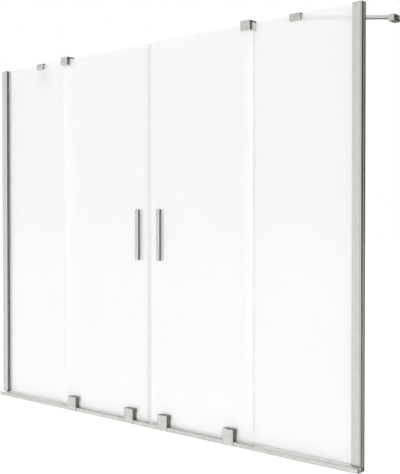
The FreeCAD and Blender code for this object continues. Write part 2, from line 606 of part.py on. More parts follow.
# ---- carriages ----------------------------------------------------------------------------------
def carriage(from_wall):
    """The die-cast block that holds a roller, with a skirt that laps over the rail's front."""
    half = CARRIAGE_WIDTH / 2
    x = (from_wall - half, from_wall + half)
    above_rail = RAIL_HEIGHT + CARRIAGE_ABOVE_RAIL
    body = block(x, (CARRIAGE_FRONT_Y, CARRIAGE_BACK_Y), (above_rail, CARRIAGE_TOP))
    skirt_y = (CARRIAGE_FRONT_Y, CARRIAGE_FRONT_Y + CARRIAGE_SKIRT_THICKNESS)
    skirt = block(x, skirt_y, (CARRIAGE_SKIRT_BOTTOM, CARRIAGE_TOP))
    body = body.fuse(skirt).removeSplitter()
    front = lies_on(Y_AXIS, CARRIAGE_FRONT_Y)
    top = lies_on(Z_AXIS, CARRIAGE_TOP)
    body = rounded(body, CARRIAGE_ROUNDING, lambda edge: front(edge) or top(edge))
    reach = ROLLER_FLANGE_RADIUS + ROLLER_RADIAL_ROOM
    side_gap = ROLLER_WIDTH / 2 + ROLLER_SIDE_ROOM
    cavity_y = (RIB_Y - side_gap, RIB_Y + side_gap)
    cavity = block((from_wall - reach, from_wall + reach), cavity_y, (above_rail, ROLLER_AXIS_Z + reach))
    axle_length = CARRIAGE_BACK_Y - AXLE_FRONT_Y
    axle_hole = pin(AXLE_RADIUS, from_wall, AXLE_FRONT_Y, ROLLER_AXIS_Z, Y_AXIS, axle_length)
    body = body.cut([cavity, axle_hole])
    for screw in screw_places(from_wall):
        depth = CARRIAGE_BACK_Y - CARRIAGE_SCREW_END_Y
        hole = pin(CARRIAGE_SCREW_RADIUS, screw, CARRIAGE_SCREW_END_Y, CARRIAGE_SCREW_Z, Y_AXIS, depth)
        body = body.cut(hole)
    return body


def plate(from_wall, y):
    """A rounded plate the size of a carriage's clamping area."""
    half = CLAMP_PLATE_WIDTH / 2
    shape = block((from_wall - half, from_wall + half), y, (CLAMP_PLATE_BOTTOM, CARRIAGE_TOP))
    return rounded(shape, CLAMP_PLATE_ROUNDING, runs_along(Y_AXIS))


def carriage_spacer(from_wall):
    """A soft plate between a carriage and the glass."""
    spacer = plate(from_wall, (CARRIAGE_BACK_Y, DOOR_FRONT_Y))
    depth = DOOR_FRONT_Y - CARRIAGE_BACK_Y
    for screw in screw_places(from_wall):
        hole = pin(CARRIAGE_SCREW_RADIUS, screw, CARRIAGE_BACK_Y, CARRIAGE_SCREW_Z, Y_AXIS, depth)
        spacer = spacer.cut(hole)
    return spacer


def countersunk(from_wall, start_y):
    """A screw's outline from a Y value to its head, which is flush with the clamp plate's back."""
    head_y = CLAMP_PLATE_BACK_Y - CARRIAGE_HEAD_DEPTH
    radius, head_radius = CARRIAGE_SCREW_RADIUS, CARRIAGE_SCREW_HEAD_RADIUS
    shank = pin(radius, from_wall, start_y, CARRIAGE_SCREW_Z, Y_AXIS, head_y - start_y)
    head = cone(radius, head_radius, from_wall, head_y, CARRIAGE_SCREW_Z, Y_AXIS, CARRIAGE_HEAD_DEPTH)
    return shank.fuse(head).removeSplitter()


def clamp_plate(from_wall):
    """The plate behind the glass, whose bosses fill the glass holes."""
    shape = plate(from_wall, (DOOR_BACK_Y, CLAMP_PLATE_BACK_Y))
    for screw in screw_places(from_wall):
        boss = pin(CLAMP_BOSS_RADIUS, screw, DOOR_FRONT_Y, CARRIAGE_SCREW_Z, Y_AXIS, GLASS_THICKNESS)
        shape = shape.fuse(boss).cut(countersunk(screw, DOOR_FRONT_Y))
    return shape.removeSplitter()


def carriage_screw(from_wall):
    """A countersunk screw from the bath side into the carriage."""
    inwards = -Y_AXIS * CARRIAGE_SOCKET_DEPTH
    place = (from_wall, CLAMP_PLATE_BACK_Y, CARRIAGE_SCREW_Z)
    socket = hex_socket(*place, CARRIAGE_SOCKET_RADIUS, inwards)
    return countersunk(from_wall, CARRIAGE_SCREW_END_Y).cut(socket)


def roller_axle(from_wall):
    """The steel pin that a roller turns on."""
    length = CARRIAGE_BACK_Y - AXLE_FRONT_Y
    return pin(AXLE_RADIUS, from_wall, AXLE_FRONT_Y, ROLLER_AXIS_Z, Y_AXIS, length)


def roller(from_wall):
    """A nylon roller with a groove that sits over the rib, and a recessed web on each side."""
    half, groove, web = ROLLER_WIDTH / 2, ROLLER_GROOVE_WIDTH / 2, ROLLER_WEB_THICKNESS / 2
    half_profile = [
        (AXLE_RADIUS + AXLE_RUNNING_CLEARANCE, half),
        (ROLLER_HUB_RADIUS, half),
        (ROLLER_HUB_RADIUS, web),
        (ROLLER_RIM_RADIUS, web),
        (ROLLER_RIM_RADIUS, half),
        (ROLLER_FLANGE_RADIUS, half),
        (ROLLER_FLANGE_RADIUS, groove + ROLLER_GROOVE_SLOPE),
        (ROLLER_TREAD_RADIUS, groove),
    ]
    profile = half_profile + [(radius, -across) for radius, across in reversed(half_profile)]
    centre = Vector(WALL_X + from_wall, RIB_Y, ROLLER_AXIS_Z)
    outline = [centre + Vector(radius, across, 0) for radius, across in profile]
    return Part.Face(Part.makePolygon(outline + outline[:1])).revolve(centre, Y_AXIS, 360)


# ---- top guides ---------------------------------------------------------------------------------
def guide_saddle():
    """The metal saddle over both panes: a front block, a top plate and a leg behind the fixed pane."""
    half = GUIDE_WIDTH / 2
    x = (GUIDE_FROM_WALL - half, GUIDE_FROM_WALL + half)
    z = (GUIDE_BOTTOM, GUIDE_TOP)
    front = block(x, (GUIDE_FRONT_Y, GUIDE_FRONT_Y + GUIDE_BLOCK_DEPTH), z)
    top = block(x, (GUIDE_FRONT_Y, GUIDE_BACK_Y), (GUIDE_PLATE_BOTTOM, GUIDE_TOP))
    leg = block(x, (CLAMP_BACK_FACE_Y, GUIDE_BACK_Y), z)
    saddle = front.fuse([top, leg]).removeSplitter()
    on_front = lies_on(Y_AXIS, GUIDE_FRONT_Y)
    on_top = lies_on(Z_AXIS, GUIDE_TOP)
    on_back = both(lies_on(Y_AXIS, GUIDE_BACK_Y), runs_along(Z_AXIS))
    saddle = rounded(saddle, GUIDE_ROUNDING, lambda edge: on_front(edge) or on_top(edge) or on_back(edge))
    for spot in guide_screw_places():
        hole = pin(GRUB_RADIUS, spot, CLAMP_BACK_FACE_Y, GUIDE_SCREW_Z, Y_AXIS, GUIDE_LEG_THICKNESS)
        saddle = saddle.cut(hole)
    return saddle


def guide_screw_places():
    """The two grub screws that press the saddle onto the fixed pane."""
    return [GUIDE_FROM_WALL - GUIDE_SCREW_OFFSET, GUIDE_FROM_WALL + GUIDE_SCREW_OFFSET]


def guide_liner():
    """The plastic insert that the door's top runs in, with a tongue between the two panes."""
    half = GUIDE_WIDTH / 2 - LINER_INSET
    x = (GUIDE_FROM_WALL - half, GUIDE_FROM_WALL + half)
    front_y = GUIDE_FRONT_Y + GUIDE_BLOCK_DEPTH
    whole = block(x, (front_y, CLAMP_BACK_FACE_Y), (LINER_BOTTOM, GUIDE_PLATE_BOTTOM))
    door_y = (DOOR_FRONT_Y - LINER_CLEARANCE, DOOR_BACK_Y + LINER_CLEARANCE)
    door_slot = block(x, door_y, (LINER_BOTTOM, SCREEN_HEIGHT + RUNNING_GAP))
    pane_slot = block(x, (PANE_FRONT_Y, PANE_BACK_Y), (LINER_BOTTOM, SCREEN_HEIGHT))
    return whole.cut([door_slot, pane_slot])


def grub_screw(from_wall, y, z, direction, length):
    """A socket set screw; its socket is at the start and its point at the end."""
    body = pin(GRUB_RADIUS, from_wall, y, z, direction, length)
    return body.cut(hex_socket(from_wall, y, z, GRUB_SOCKET_RADIUS, direction * GRUB_SOCKET_DEPTH))


# ---- stabiliser rods ----------------------------------------------------------------------------
def rod_direction():
    """The rod's direction from the glass clamp to the wall, in the XY plane."""
    run = Vector(ROD_END[0] - ROD_START[0], ROD_END[1] - ROD_START[1], 0)
    return run.normalize()


def rod_bar(overrun):
    """The flat bar along its slanted line, longer at both ends by an overrun."""
    along = rod_direction()
    aside = Vector(-along.y, along.x, 0) * (ROD_WIDTH / 2)
    start = Vector(WALL_X + ROD_START[0], ROD_START[1], ROD_BOTTOM) - along * overrun
    end = Vector(WALL_X + ROD_END[0], ROD_END[1], ROD_BOTTOM) + along * overrun
    corners = [start + aside, start - aside, end - aside, end + aside]
    return extruded(corners, Z_AXIS * (ROD_TOP - ROD_BOTTOM))


def stabiliser_rod():
    """The bar with one end mitred along the glass and the other along the wall."""
    bar = rod_bar(ROD_WIDTH)
    keep_x = (ROD_END[0], ROD_CLAMP_FROM_WALL + 2 * ROD_WIDTH)
    keep_y = (ROD_START[1], BRACKET_FRONT_Y + 2 * BRACKET_WIDTH)
    bar = bar.common(block(keep_x, keep_y, (ROD_BOTTOM, ROD_TOP)))
    along = rod_direction()
    return rounded(bar, ROD_ROUNDING, runs_along(along))


def rod_clamp():
    """The saddle on the fixed pane's top edge that holds the rod's end."""
    half = ROD_CLAMP_WIDTH / 2
    x = (ROD_CLAMP_FROM_WALL - half, ROD_CLAMP_FROM_WALL + half)
    front_y = PANE_FRONT_Y - CLAMP_PAD_FRONT - ROD_CLAMP_LEG
    back_y = CLAMP_BACK_FACE_Y
    front_leg = block(x, (front_y, front_y + ROD_CLAMP_LEG), (ROD_CLAMP_BOTTOM, ROD_CLAMP_TOP))
    bridge_z = (ROD_CLAMP_TOP - ROD_CLAMP_BRIDGE, ROD_CLAMP_TOP)
    bridge = block(x, (front_y, back_y + ROD_CLAMP_BACK_LEG), bridge_z)
    back_leg = block(x, (back_y, back_y + ROD_CLAMP_BACK_LEG), (ROD_CLAMP_BOTTOM, ROD_CLAMP_TOP))
    rod_block = block(x, (back_y, ROD_BLOCK_BACK_Y), (ROD_CLAMP_BOTTOM, ROD_BLOCK_TOP))
    clamp = front_leg.fuse([bridge, back_leg, rod_block]).removeSplitter()
    on_front = lies_on(Y_AXIS, front_y)
    on_top = lies_on(Z_AXIS, ROD_CLAMP_TOP)
    clamp = rounded(clamp, ROD_CLAMP_ROUNDING, lambda edge: on_front(edge) or on_top(edge))
    keep_y = (ROD_START[1], ROD_BLOCK_BACK_Y + ROD_WIDTH)
    pocket = rod_bar(ROD_WIDTH).common(block((0, SCREEN_WIDTH / 2), keep_y, (ROD_BOTTOM, ROD_TOP)))
    clamp = clamp.cut(pocket)
    for spot in clamp_screw_places():
        depth = ROD_BLOCK_BACK_Y - back_y
        clamp = clamp.cut(pin(GRUB_RADIUS, spot, back_y, CLAMP_SCREW_Z, Y_AXIS, depth))
    lock_x, lock_y = rod_point(ROD_LOCK_AT_CLAMP)
    lock_depth = ROD_BOTTOM - ROD_CLAMP_BOTTOM
    return clamp.cut(pin(GRUB_RADIUS, lock_x, lock_y, ROD_CLAMP_BOTTOM, Z_AXIS, lock_depth))


def clamp_screw_places():
    """The two grub screws that press a rod clamp onto the pane."""
    return [ROD_CLAMP_FROM_WALL - CLAMP_SCREW_OFFSET, ROD_CLAMP_FROM_WALL + CLAMP_SCREW_OFFSET]


def rod_point(distance, from_end=False):
    """A point on the rod's centre line, at a distance from one of its ends."""
    along = rod_direction()
    origin = ROD_END if from_end else ROD_START
    sign = -1 if from_end else 1
    return origin[0] + sign * along.x * distance, origin[1] + sign * along.y * distance


def clamp_pads():
    """The soft pads between a rod clamp and the glass, front and back."""
    half = ROD_CLAMP_WIDTH / 2 - CLAMP_PAD_INSET
    x = (ROD_CLAMP_FROM_WALL - half, ROD_CLAMP_FROM_WALL + half)
    z = (ROD_CLAMP_BOTTOM + CLAMP_PAD_INSET, SCREEN_HEIGHT - CLAMP_PAD_INSET)
    front = block(x, (PANE_FRONT_Y - CLAMP_PAD_FRONT, PANE_FRONT_Y), z)
    back = block(x, (PANE_BACK_Y, PANE_BACK_Y + CLAMP_PAD_BACK), z)
    return [front, back]


def rod_wall_bracket():
    """The block on the side wall that takes the rod's end, hollowed on its wall side."""
    y = (BRACKET_FRONT_Y, BRACKET_FRONT_Y + BRACKET_WIDTH)
    bracket = block((0, BRACKET_REACH), y, (BRACKET_BOTTOM, BRACKET_TOP))
    on_wall = lies_on(X_AXIS, WALL_X)
    bracket = rounded(bracket, BRACKET_ROUNDING, lambda edge: not on_wall(edge))
    pocket = rod_bar(ROD_WIDTH).common(
        block((ROD_END[0], SCREEN_WIDTH / 2), (0, y[1]), (ROD_BOTTOM, ROD_TOP))
    )
    margin = BRACKET_RECESS_MARGIN
    recess = block(
        (0, BRACKET_RECESS_DEPTH),
        (y[0] + margin, y[1] - margin),
        (BRACKET_RECESS_BOTTOM, BRACKET_TOP - margin),
    )
    bracket = bracket.cut([pocket, recess])
    radius, sink_radius = BRACKET_SCREW_RADIUS, BRACKET_SINK_RADIUS
    depth = sink_radius - radius
    for spot in bracket_screw_places():
        hole = pin(radius, 0, spot, BRACKET_SCREW_Z, X_AXIS, BRACKET_REACH)
        sink = cone(radius, sink_radius, BRACKET_REACH - depth, spot, BRACKET_SCREW_Z, X_AXIS, depth)
        bracket = bracket.cut([hole, sink])
    lock_x, lock_y = rod_point(ROD_LOCK_AT_WALL, from_end=True)
    lock_depth = ROD_BOTTOM - BRACKET_BOTTOM
    return bracket.cut(pin(GRUB_RADIUS, lock_x, lock_y, BRACKET_BOTTOM, Z_AXIS, lock_depth))


def bracket_screw_places():
    """The Y values of the two wall-screw holes in a rod bracket."""
    middle = BRACKET_FRONT_Y + BRACKET_WIDTH / 2
    return [middle - BRACKET_SCREW_SPACING / 2, middle + BRACKET_SCREW_SPACING / 2]


def grub_screws():
    """Every set screw of one side: guide saddle, rod clamp and wall bracket."""
    screws = []
    for spot in guide_screw_places():
        screws.append(grub_screw(spot, GUIDE_BACK_Y, GUIDE_SCREW_Z, -Y_AXIS, GUIDE_LEG_THICKNESS))
    start_y = ROD_BLOCK_BACK_Y - GRUB_RECESS
    for spot in clamp_screw_places():
        screws.append(grub_screw(spot, start_y, CLAMP_SCREW_Z, -Y_AXIS, start_y - CLAMP_BACK_FACE_Y))
    rod_locks = [
        (rod_point(ROD_LOCK_AT_CLAMP), ROD_CLAMP_BOTTOM + GRUB_RECESS),
        (rod_point(ROD_LOCK_AT_WALL, from_end=True), BRACKET_BOTTOM + GRUB_RECESS),
    ]
    for (from_wall, y), start_z in rod_locks:
        screws.append(grub_screw(from_wall, y, start_z, Z_AXIS, ROD_BOTTOM - start_z))
    return screws


# ---- everything ---------------------------------------------------------------------------------
def save_frame():
    """The pieces that stay still."""
    sides = ("left", "right")
    save("bottom_rail", bottom_rail())
    save("track_stops", [on_side(side, track_stop(side)) for side in sides])
    save("splash_seal", splash_seal())
    pieces = {
        "wall_channel": wall_channel,
        "pane_channel": pane_channel,
        "fixed_pane": fixed_pane,
        "fixed_pane_seal": fixed_pane_seal,
        "guide_saddle": guide_saddle,
        "guide_liner": guide_liner,
        "rod_clamp": rod_clamp,
        "stabiliser_rod": stabiliser_rod,
        "rod_wall_bracket": rod_wall_bracket,
    }
    for name, draw in pieces.items():
        for side in sides:
            save(f"{name}_{side}", on_side(side, draw()))
    save("channel_caps", [on_side(side, channel_cap()) for side in sides])
    save("pane_gaskets", [on_side(side, pane_gasket()) for side in sides])
    save("rod_clamp_pads", [on_side(side, pad) for side in sides for pad in clamp_pads()])
    save("grub_screws", [on_side(side, screw) for side in sides for screw in grub_screws()])
    lock_screws = [channel_lock_screw(height) for height in LOCK_SCREW_HEIGHTS]
    save("channel_lock_screws", [on_side(side, screw) for side in sides for screw in lock_screws])


def save_door(side):
    """The pieces that slide with one door, and its two rollers."""
    places = carriage_places(side)
    single = {
        "door_pane": door_pane(side),
        "outer_handle": outer_handle(),
        "inner_handle": inner_handle(),
        "magnet_seal": magnet_seal(),
        "magnet_strip": magnet_strip(),
        "door_edge_seal": door_edge_seal(),
        "drip_seal": drip_seal(),
    }
    for name, shape in single.items():
        save(f"{name}_{side}", on_side(side, shape))
    heights = handle_screw_heights()
    screws = [screw for place in places.values() for screw in screw_places(place)]
    groups = {
        "handle_screws": [handle_screw(height) for height in heights],
        "handle_bushes": [bush for height in heights for bush in handle_bushes(height)],
        "carriage_spacers": [carriage_spacer(place) for place in places.values()],
        "clamp_plates": [clamp_plate(place) for place in places.values()],
        "carriage_screws": [carriage_screw(screw) for screw in screws],
        "roller_axles": [roller_axle(place) for place in places.values()],
    }
    for name, shapes in groups.items():
        save(f"{name}_{side}", [on_side(side, shape) for shape in shapes])
    for name, place in places.items():
        save(f"carriage_{side}_{name}", on_side(side, carriage(place)))
        save(f"roller_{side}_{name}", on_side(side, roller(place)))


os.makedirs("parts", exist_ok=True)
save_frame()
for door_side in ("left", "right"):
    save_door(door_side)
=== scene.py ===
# %% [markdown]
# A bath screen for an alcove: two fixed panes at the walls and two doors that slide outwards in
# front of them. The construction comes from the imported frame: every profile, pane, bar and roller
# already stands where it belongs, in metres. This script gives each of them its finish, and makes
# again, as finer meshes, the clip-on seals, the rollers and the socket screws.

# %% Load the frame
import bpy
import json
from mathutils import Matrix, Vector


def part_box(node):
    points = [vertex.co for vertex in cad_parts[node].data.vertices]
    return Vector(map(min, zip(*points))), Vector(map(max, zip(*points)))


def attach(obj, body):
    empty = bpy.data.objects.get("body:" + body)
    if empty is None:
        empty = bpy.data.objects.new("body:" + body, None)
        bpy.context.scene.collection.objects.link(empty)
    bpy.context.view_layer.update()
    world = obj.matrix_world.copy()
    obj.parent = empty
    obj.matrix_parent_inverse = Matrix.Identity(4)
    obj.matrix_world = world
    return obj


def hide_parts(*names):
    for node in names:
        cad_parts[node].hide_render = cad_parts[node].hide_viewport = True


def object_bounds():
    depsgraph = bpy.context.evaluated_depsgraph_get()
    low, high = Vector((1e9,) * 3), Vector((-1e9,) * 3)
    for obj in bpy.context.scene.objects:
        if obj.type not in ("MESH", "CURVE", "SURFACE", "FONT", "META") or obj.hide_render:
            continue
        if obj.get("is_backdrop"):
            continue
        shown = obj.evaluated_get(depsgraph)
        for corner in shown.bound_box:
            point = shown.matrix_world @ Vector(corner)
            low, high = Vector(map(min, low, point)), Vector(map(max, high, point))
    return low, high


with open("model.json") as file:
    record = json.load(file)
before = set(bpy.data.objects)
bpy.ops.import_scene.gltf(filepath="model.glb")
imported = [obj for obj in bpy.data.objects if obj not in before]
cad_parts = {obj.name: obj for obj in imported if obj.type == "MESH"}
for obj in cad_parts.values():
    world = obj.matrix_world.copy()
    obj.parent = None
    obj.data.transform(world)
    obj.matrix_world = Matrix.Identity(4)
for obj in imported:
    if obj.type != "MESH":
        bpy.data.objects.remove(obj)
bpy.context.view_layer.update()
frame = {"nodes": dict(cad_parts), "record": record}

# %% [markdown]
# Blender works in metres, and this screen is drawn in millimetres, so one factor turns the first
# into the second. The two sides carry the same names with another ending, so a table of sides, with
# the sign of X on each, saves writing everything twice.

# %% Units and sides
import bmesh
import bpy
import json
import math
from mathutils import Euler, Vector

MM = 0.001
SIDES = {"left": -1.0, "right": 1.0}
scene = bpy.context.scene
print("sides:", ", ".join(SIDES))

# %% [markdown]
# A finish is a small program: it takes the place of a point on the surface and answers with a
# colour, a roughness and a slope. Drawing that program as nodes by hand takes many clicks, and
# writing it socket by socket hides the idea. A socket wrapped in a class that knows plus, minus,
# times and divided by reads like a formula, and each sign adds one Math node.


# %% A socket that does arithmetic
class Signal:
    """An output socket; arithmetic on it adds Math nodes to its graph."""

    def __init__(self, graph, socket):
        self.graph = graph
        self.socket = socket

    def _math(self, operation, *values):
        return self.graph.node("ShaderNodeMath", {"operation": operation}, *values)

    def __add__(self, other):
        return self._math("ADD", self, other)

    def __sub__(self, other):
        return self._math("SUBTRACT", self, other)

    def __rsub__(self, other):
        return self._math("SUBTRACT", other, self)

    def __mul__(self, other):
        return self._math("MULTIPLY", self, other)

    def __truediv__(self, other):
        return self._math("DIVIDE", self, other)

    def __gt__(self, other):
        return self._math("GREATER_THAN", self, other)

    def size(self):
        return self._math("ABSOLUTE", self)

    def floor(self):
        return self._math("FLOOR", self)

    def least(self, other):
        return self._math("MINIMUM", self, other)

    def most(self, other):
        return self._math("MAXIMUM", self, other)

    __radd__ = __add__
    __rmul__ = __mul__


def live_socket(sockets, name=None):
    """The first socket in use, or the first of that name: a node hides those of its other modes."""
    return next(s for s in sockets if s.enabled and name in (None, s.name))


class Graph:
    """A node tree that adds nodes one call at a time."""

    def __init__(self, tree):
        self.tree = tree

    def node(self, kind, settings=None, *values, output=None, **named):
        """Adds a node: first its settings, then its inputs by place or by name."""
        node = self.tree.nodes.new(kind)
        for key, value in (settings or {}).items():
            setattr(node, key, value)
        for key, value in [*enumerate(values), *named.items()]:
            if isinstance(key, int):
                self.feed(node.inputs[key], value)
            else:
                self.feed(live_socket(node.inputs, key.replace("_", " ")), value)
        return Signal(self, live_socket(node.outputs, output))

    def feed(self, socket, value):
        """Links a signal, or each signal of a list, or sets a plain value."""
        signals = value if isinstance(value, list) else [value]
        if not isinstance(signals[0], Signal):
            socket.default_value = value
            return
        for signal in signals:
            self.tree.links.new(signal.socket, socket)


class Shading(Graph):
    """The nodes of a material or a world, with the shader that they end in."""

    def __init__(self, owner, shader):
        owner.use_nodes = True
        super().__init__(owner.node_tree)
        self.shader = self.tree.nodes[shader]

    def drive(self, **sockets):
        """Links what varies to the shader's own sockets."""
        for name, signal in sockets.items():
            self.tree.links.new(signal.socket, self.shader.inputs[name.replace("_", " ")])


class Finish(Shading):
    """A material on the Principled shader; its constants sit on the shader's own sockets."""

    def __init__(self, name, **constants):
        self.material = bpy.data.materials.new(name)
        super().__init__(self.material, "Principled BSDF")
        for socket, value in constants.items():
            self.shader.inputs[socket.replace("_", " ")].default_value = value

    def place(self, turn=(0, 0, 0), scale=(1, 1, 1)):
        """Object coordinates, turned and then stretched."""
        coordinates = self.node("ShaderNodeTexCoord", output="Object")
        turned = self.node("ShaderNodeMapping", {}, Vector=coordinates, Rotation=turn)
        return self.node("ShaderNodeMapping", {}, Vector=turned, Scale=scale)

    def axis(self, name):
        """One Object coordinate, in metres."""
        return self.node("ShaderNodeSeparateXYZ", {}, self.place(), output=name)

    def noise(self, where, scale, detail):
        """Fractal noise about 0.5; its scale is in lumps to the metre."""
        return self.node("ShaderNodeTexNoise", {}, Vector=where, Scale=scale, Detail=detail)

    def blend(self, factor, low, high):
        """A colour between two colours."""
        return self.node("ShaderNodeMix", {"data_type": "RGBA"}, Factor=factor, A=low, B=high)

    def bump(self, height, distance):
        """A height in units of the distance, as a slope for the Normal socket."""
        return self.node("ShaderNodeBump", {}, Height=height, Distance=distance)


WARMTH_IN_GREEN = 0.3


def grey(value, warmth=0.0):
    """A nearly neutral colour; warmth takes blue away, and a little green with it."""
    return (value, value * (1 - warmth * WARMTH_IN_GREEN), value * (1 - warmth), 1.0)


print("arithmetic ready: + - * / > on sockets")

# %% [markdown]
# Brushed nickel is a satin tone: plating on handles and carriages, or a matching anodised layer on
# aluminium profiles, over metal rubbed in one direction with abrasive. The rubbing leaves hair-thin
# scratches a few centimetres long, so the surface reflects as a streak and not as a mirror.
# Anisotropy would do it, but a few noises keep their meaning in any renderer: stretched ones for the
# scratches and the uneven pressure of the belt, and small spots for the mottled tone. The grain
# runs along each profile's length, so the finish takes the direction as an argument. Long profiles
# go through one belt in one pass, so their tone is calmer than that of the small cast pieces.

# %% Brushed nickel along a direction
NICKEL = (0.68, 0.675, 0.65, 1.0)
NICKEL_WORN = (0.52, 0.515, 0.485, 1.0)
# painted light: the lighter silver put in the rail's trough and on downward faces to lift their shade
PAINTED_LIGHT_SILVER = (0.93, 0.93, 0.92, 1.0)
SCRATCHES_PER_METRE = 2600.0
SCRATCHES_PER_STREAK = 7.0
STREAKS_PER_METRE = SCRATCHES_PER_METRE / SCRATCHES_PER_STREAK
SCRATCH_STRETCH = 55.0
SCRATCH_DEPTH = 0.012 * MM
SCRATCH_SLOPE = 0.6
BANDS_PER_METRE = 85.0
PATCHES_PER_METRE = 18.0
SPOTS_PER_METRE = 150.0
SPOT_STRETCH = 3.0
FINE_NOISES = 3
FINE_CONTRAST = 0.3
BAND_CONTRAST = 1.08
SPOT_CONTRAST = 1.8
PROFILE_CONTRAST = 0.45
NICKEL_ROUGH = 0.33
SCRATCH_ROUGH = 0.08
STREAK_ROUGH = 0.1
SILVER_ROUGH = 0.15
SILVER_NOT_METALLIC = 0.9


def stretched(grain, times):
    """The scale of a pattern that is so many times as long along one axis."""
    return [1 / times if axis == grain else 1.0 for axis in "xyz"]


def brushed_nickel(name, grain, turn=0.0, tone=1.0, contrast=1.0, painted_light_mask=None):
    """Nickel with scratches along one axis, x, y or z, of a grid turned about the Z axis.

    Contrast is how far the tone wanders, and the mask function answers 1 where a lighter, duller silver
    is painted in: painted light that lifts shaded hollows and undersides."""
    finish = Finish(name, Metallic=1.0)
    scratched = finish.place((0, 0, -turn), stretched(grain, SCRATCH_STRETCH))
    scratches = finish.noise(scratched, SCRATCHES_PER_METRE, detail=2.0)
    streaks = finish.noise(scratched, STREAKS_PER_METRE, detail=3.0)
    bands = finish.noise(scratched, BANDS_PER_METRE, detail=1.0) * BAND_CONTRAST
    patches = finish.noise(finish.place(), PATCHES_PER_METRE, detail=2.0)
    spotted = finish.place((0, 0, -turn), stretched(grain, SPOT_STRETCH))
    spots = finish.noise(spotted, SPOTS_PER_METRE, detail=2.0) * SPOT_CONTRAST
    uneven = (scratches + streaks + patches) * FINE_CONTRAST + bands + spots
    average = (FINE_CONTRAST * FINE_NOISES + BAND_CONTRAST + SPOT_CONTRAST) / 2
    wear = ((uneven - average) * contrast).most(-0.5).least(0.5) + 0.5
    fresh, worn = ((*(part * tone for part in metal[:3]), 1.0) for metal in (NICKEL, NICKEL_WORN))
    colour = finish.blend(wear, fresh, worn)
    rough = NICKEL_ROUGH + (scratches - 0.5) * SCRATCH_ROUGH + (streaks - 0.5) * STREAK_ROUGH
    slope = finish.bump(scratches * SCRATCH_SLOPE + streaks * (1 - SCRATCH_SLOPE), SCRATCH_DEPTH)
    # painted light: where the mask says, a lighter, duller silver lifts the shade
    if painted_light_mask:
        silver = painted_light_mask(finish)
        colour = finish.blend(silver, colour, PAINTED_LIGHT_SILVER)
        rough = rough + silver * SILVER_ROUGH
        finish.drive(Metallic=1 - silver * SILVER_NOT_METALLIC)
    finish.drive(Base_Color=colour, Roughness=rough, Normal=slope)
    return finish.material


nickel_upright = brushed_nickel("brushed_nickel_upright", "z")
nickel_level = brushed_nickel("brushed_nickel_level", "x")
profile_metal = brushed_nickel("brushed_nickel_profile", "z", contrast=PROFILE_CONTRAST)
print("finishes:", nickel_upright.name, nickel_level.name, profile_metal.name)

# %% [markdown]
# The rail's trough and the faces of the guides and clamps that point straight down get a lighter,
# duller silver instead of the nickel. This is painted light that lifts the shade in the hollow of the
# rail and under the small blocks, and the last few millimetres at each end of the rail keep the nickel.
# The finish gets a function that answers where this painted light goes.

# %% Nickel with painted light in the trough and underneath
TROUGH_FRONT = -19.6 * MM
TROUGH_BACK = 19.9 * MM
TROUGH_FLOOR = 1.6 * MM
ENDS_WITHOUT_PAINTED_LIGHT = 6 * MM
TROUGH_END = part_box("bottom_rail")[1].x - ENDS_WITHOUT_PAINTED_LIGHT
STEEPEST_UNDERSIDE = -0.9
GUIDE_TONE = 0.9


def trough_painted_light(finish):
    """Painted light: the inside of the rail, between its lips and its ends, where a lighter silver lifts
    the shade of the hollow.
    """
    x, y, z = (finish.axis(name) for name in "XYZ")
    deep = (y > TROUGH_FRONT) * (1 - (y > TROUGH_BACK)) * (z > TROUGH_FLOOR)
    return deep * (1 - (x.size() > TROUGH_END))


def underside_painted_light(finish):
    """Painted light: the faces of a small block that point straight down, where a lighter silver lifts
    their shade.
    """
    facing = finish.node("ShaderNodeNewGeometry", output="Normal")
    return 1 - (finish.node("ShaderNodeSeparateXYZ", {}, facing, output="Z") > STEEPEST_UNDERSIDE)


# the rail's trough and the undersides of guides and clamps carry painted light
rail_metal = brushed_nickel("brushed_nickel_rail", "x", painted_light_mask=trough_painted_light)
guide_metal = brushed_nickel("brushed_nickel_guide", "z", tone=GUIDE_TONE, painted_light_mask=underside_painted_light)
clamp_metal = brushed_nickel("brushed_nickel_clamp", "x", tone=GUIDE_TONE, painted_light_mask=underside_painted_light)
print("with painted light:", rail_metal.name, guide_metal.name, clamp_metal.name)

# %% [markdown]
# The panes are toughened float glass with one face etched in acid, which leaves pits far smaller
# than a millimetre. Light goes through but is spread, so a thing that touches the back shows as a
# soft shape and one a hand's width away is gone. Two ways lead there: a mix of shaders, or the
# Principled shader with transmission and a high roughness. The second is one plain material that
# also leaves Blender well. Half the light goes through and half is scattered as white, so
# transmission is a half, and a low index of refraction keeps the pane from acting as a lens. The
# ground edges are far thinner than they look when they are opaque, so they are mostly clear.

# %% Frosted glass
FROST = (0.998, 0.998, 0.996, 1.0)
FROST_THICK = (0.985, 0.99, 0.985, 1.0)
EDGE_TINT = (0.975, 0.99, 0.98, 1.0)
EDGE_WIDTH = 0.5 * MM
FROST_INDEX = 1.1
FROST_CLEAR = 0.5
FROST_GLOSS = 0.3
FROST_ROUGH = 0.4
EDGE_ROUGH = 0.3
EDGE_CLEAR = 0.75
PITS_PER_METRE = 3800.0
PIT_DEPTH = 0.01 * MM
PIT_ROUGH = 0.12
CLOUDS_PER_METRE = 3.0


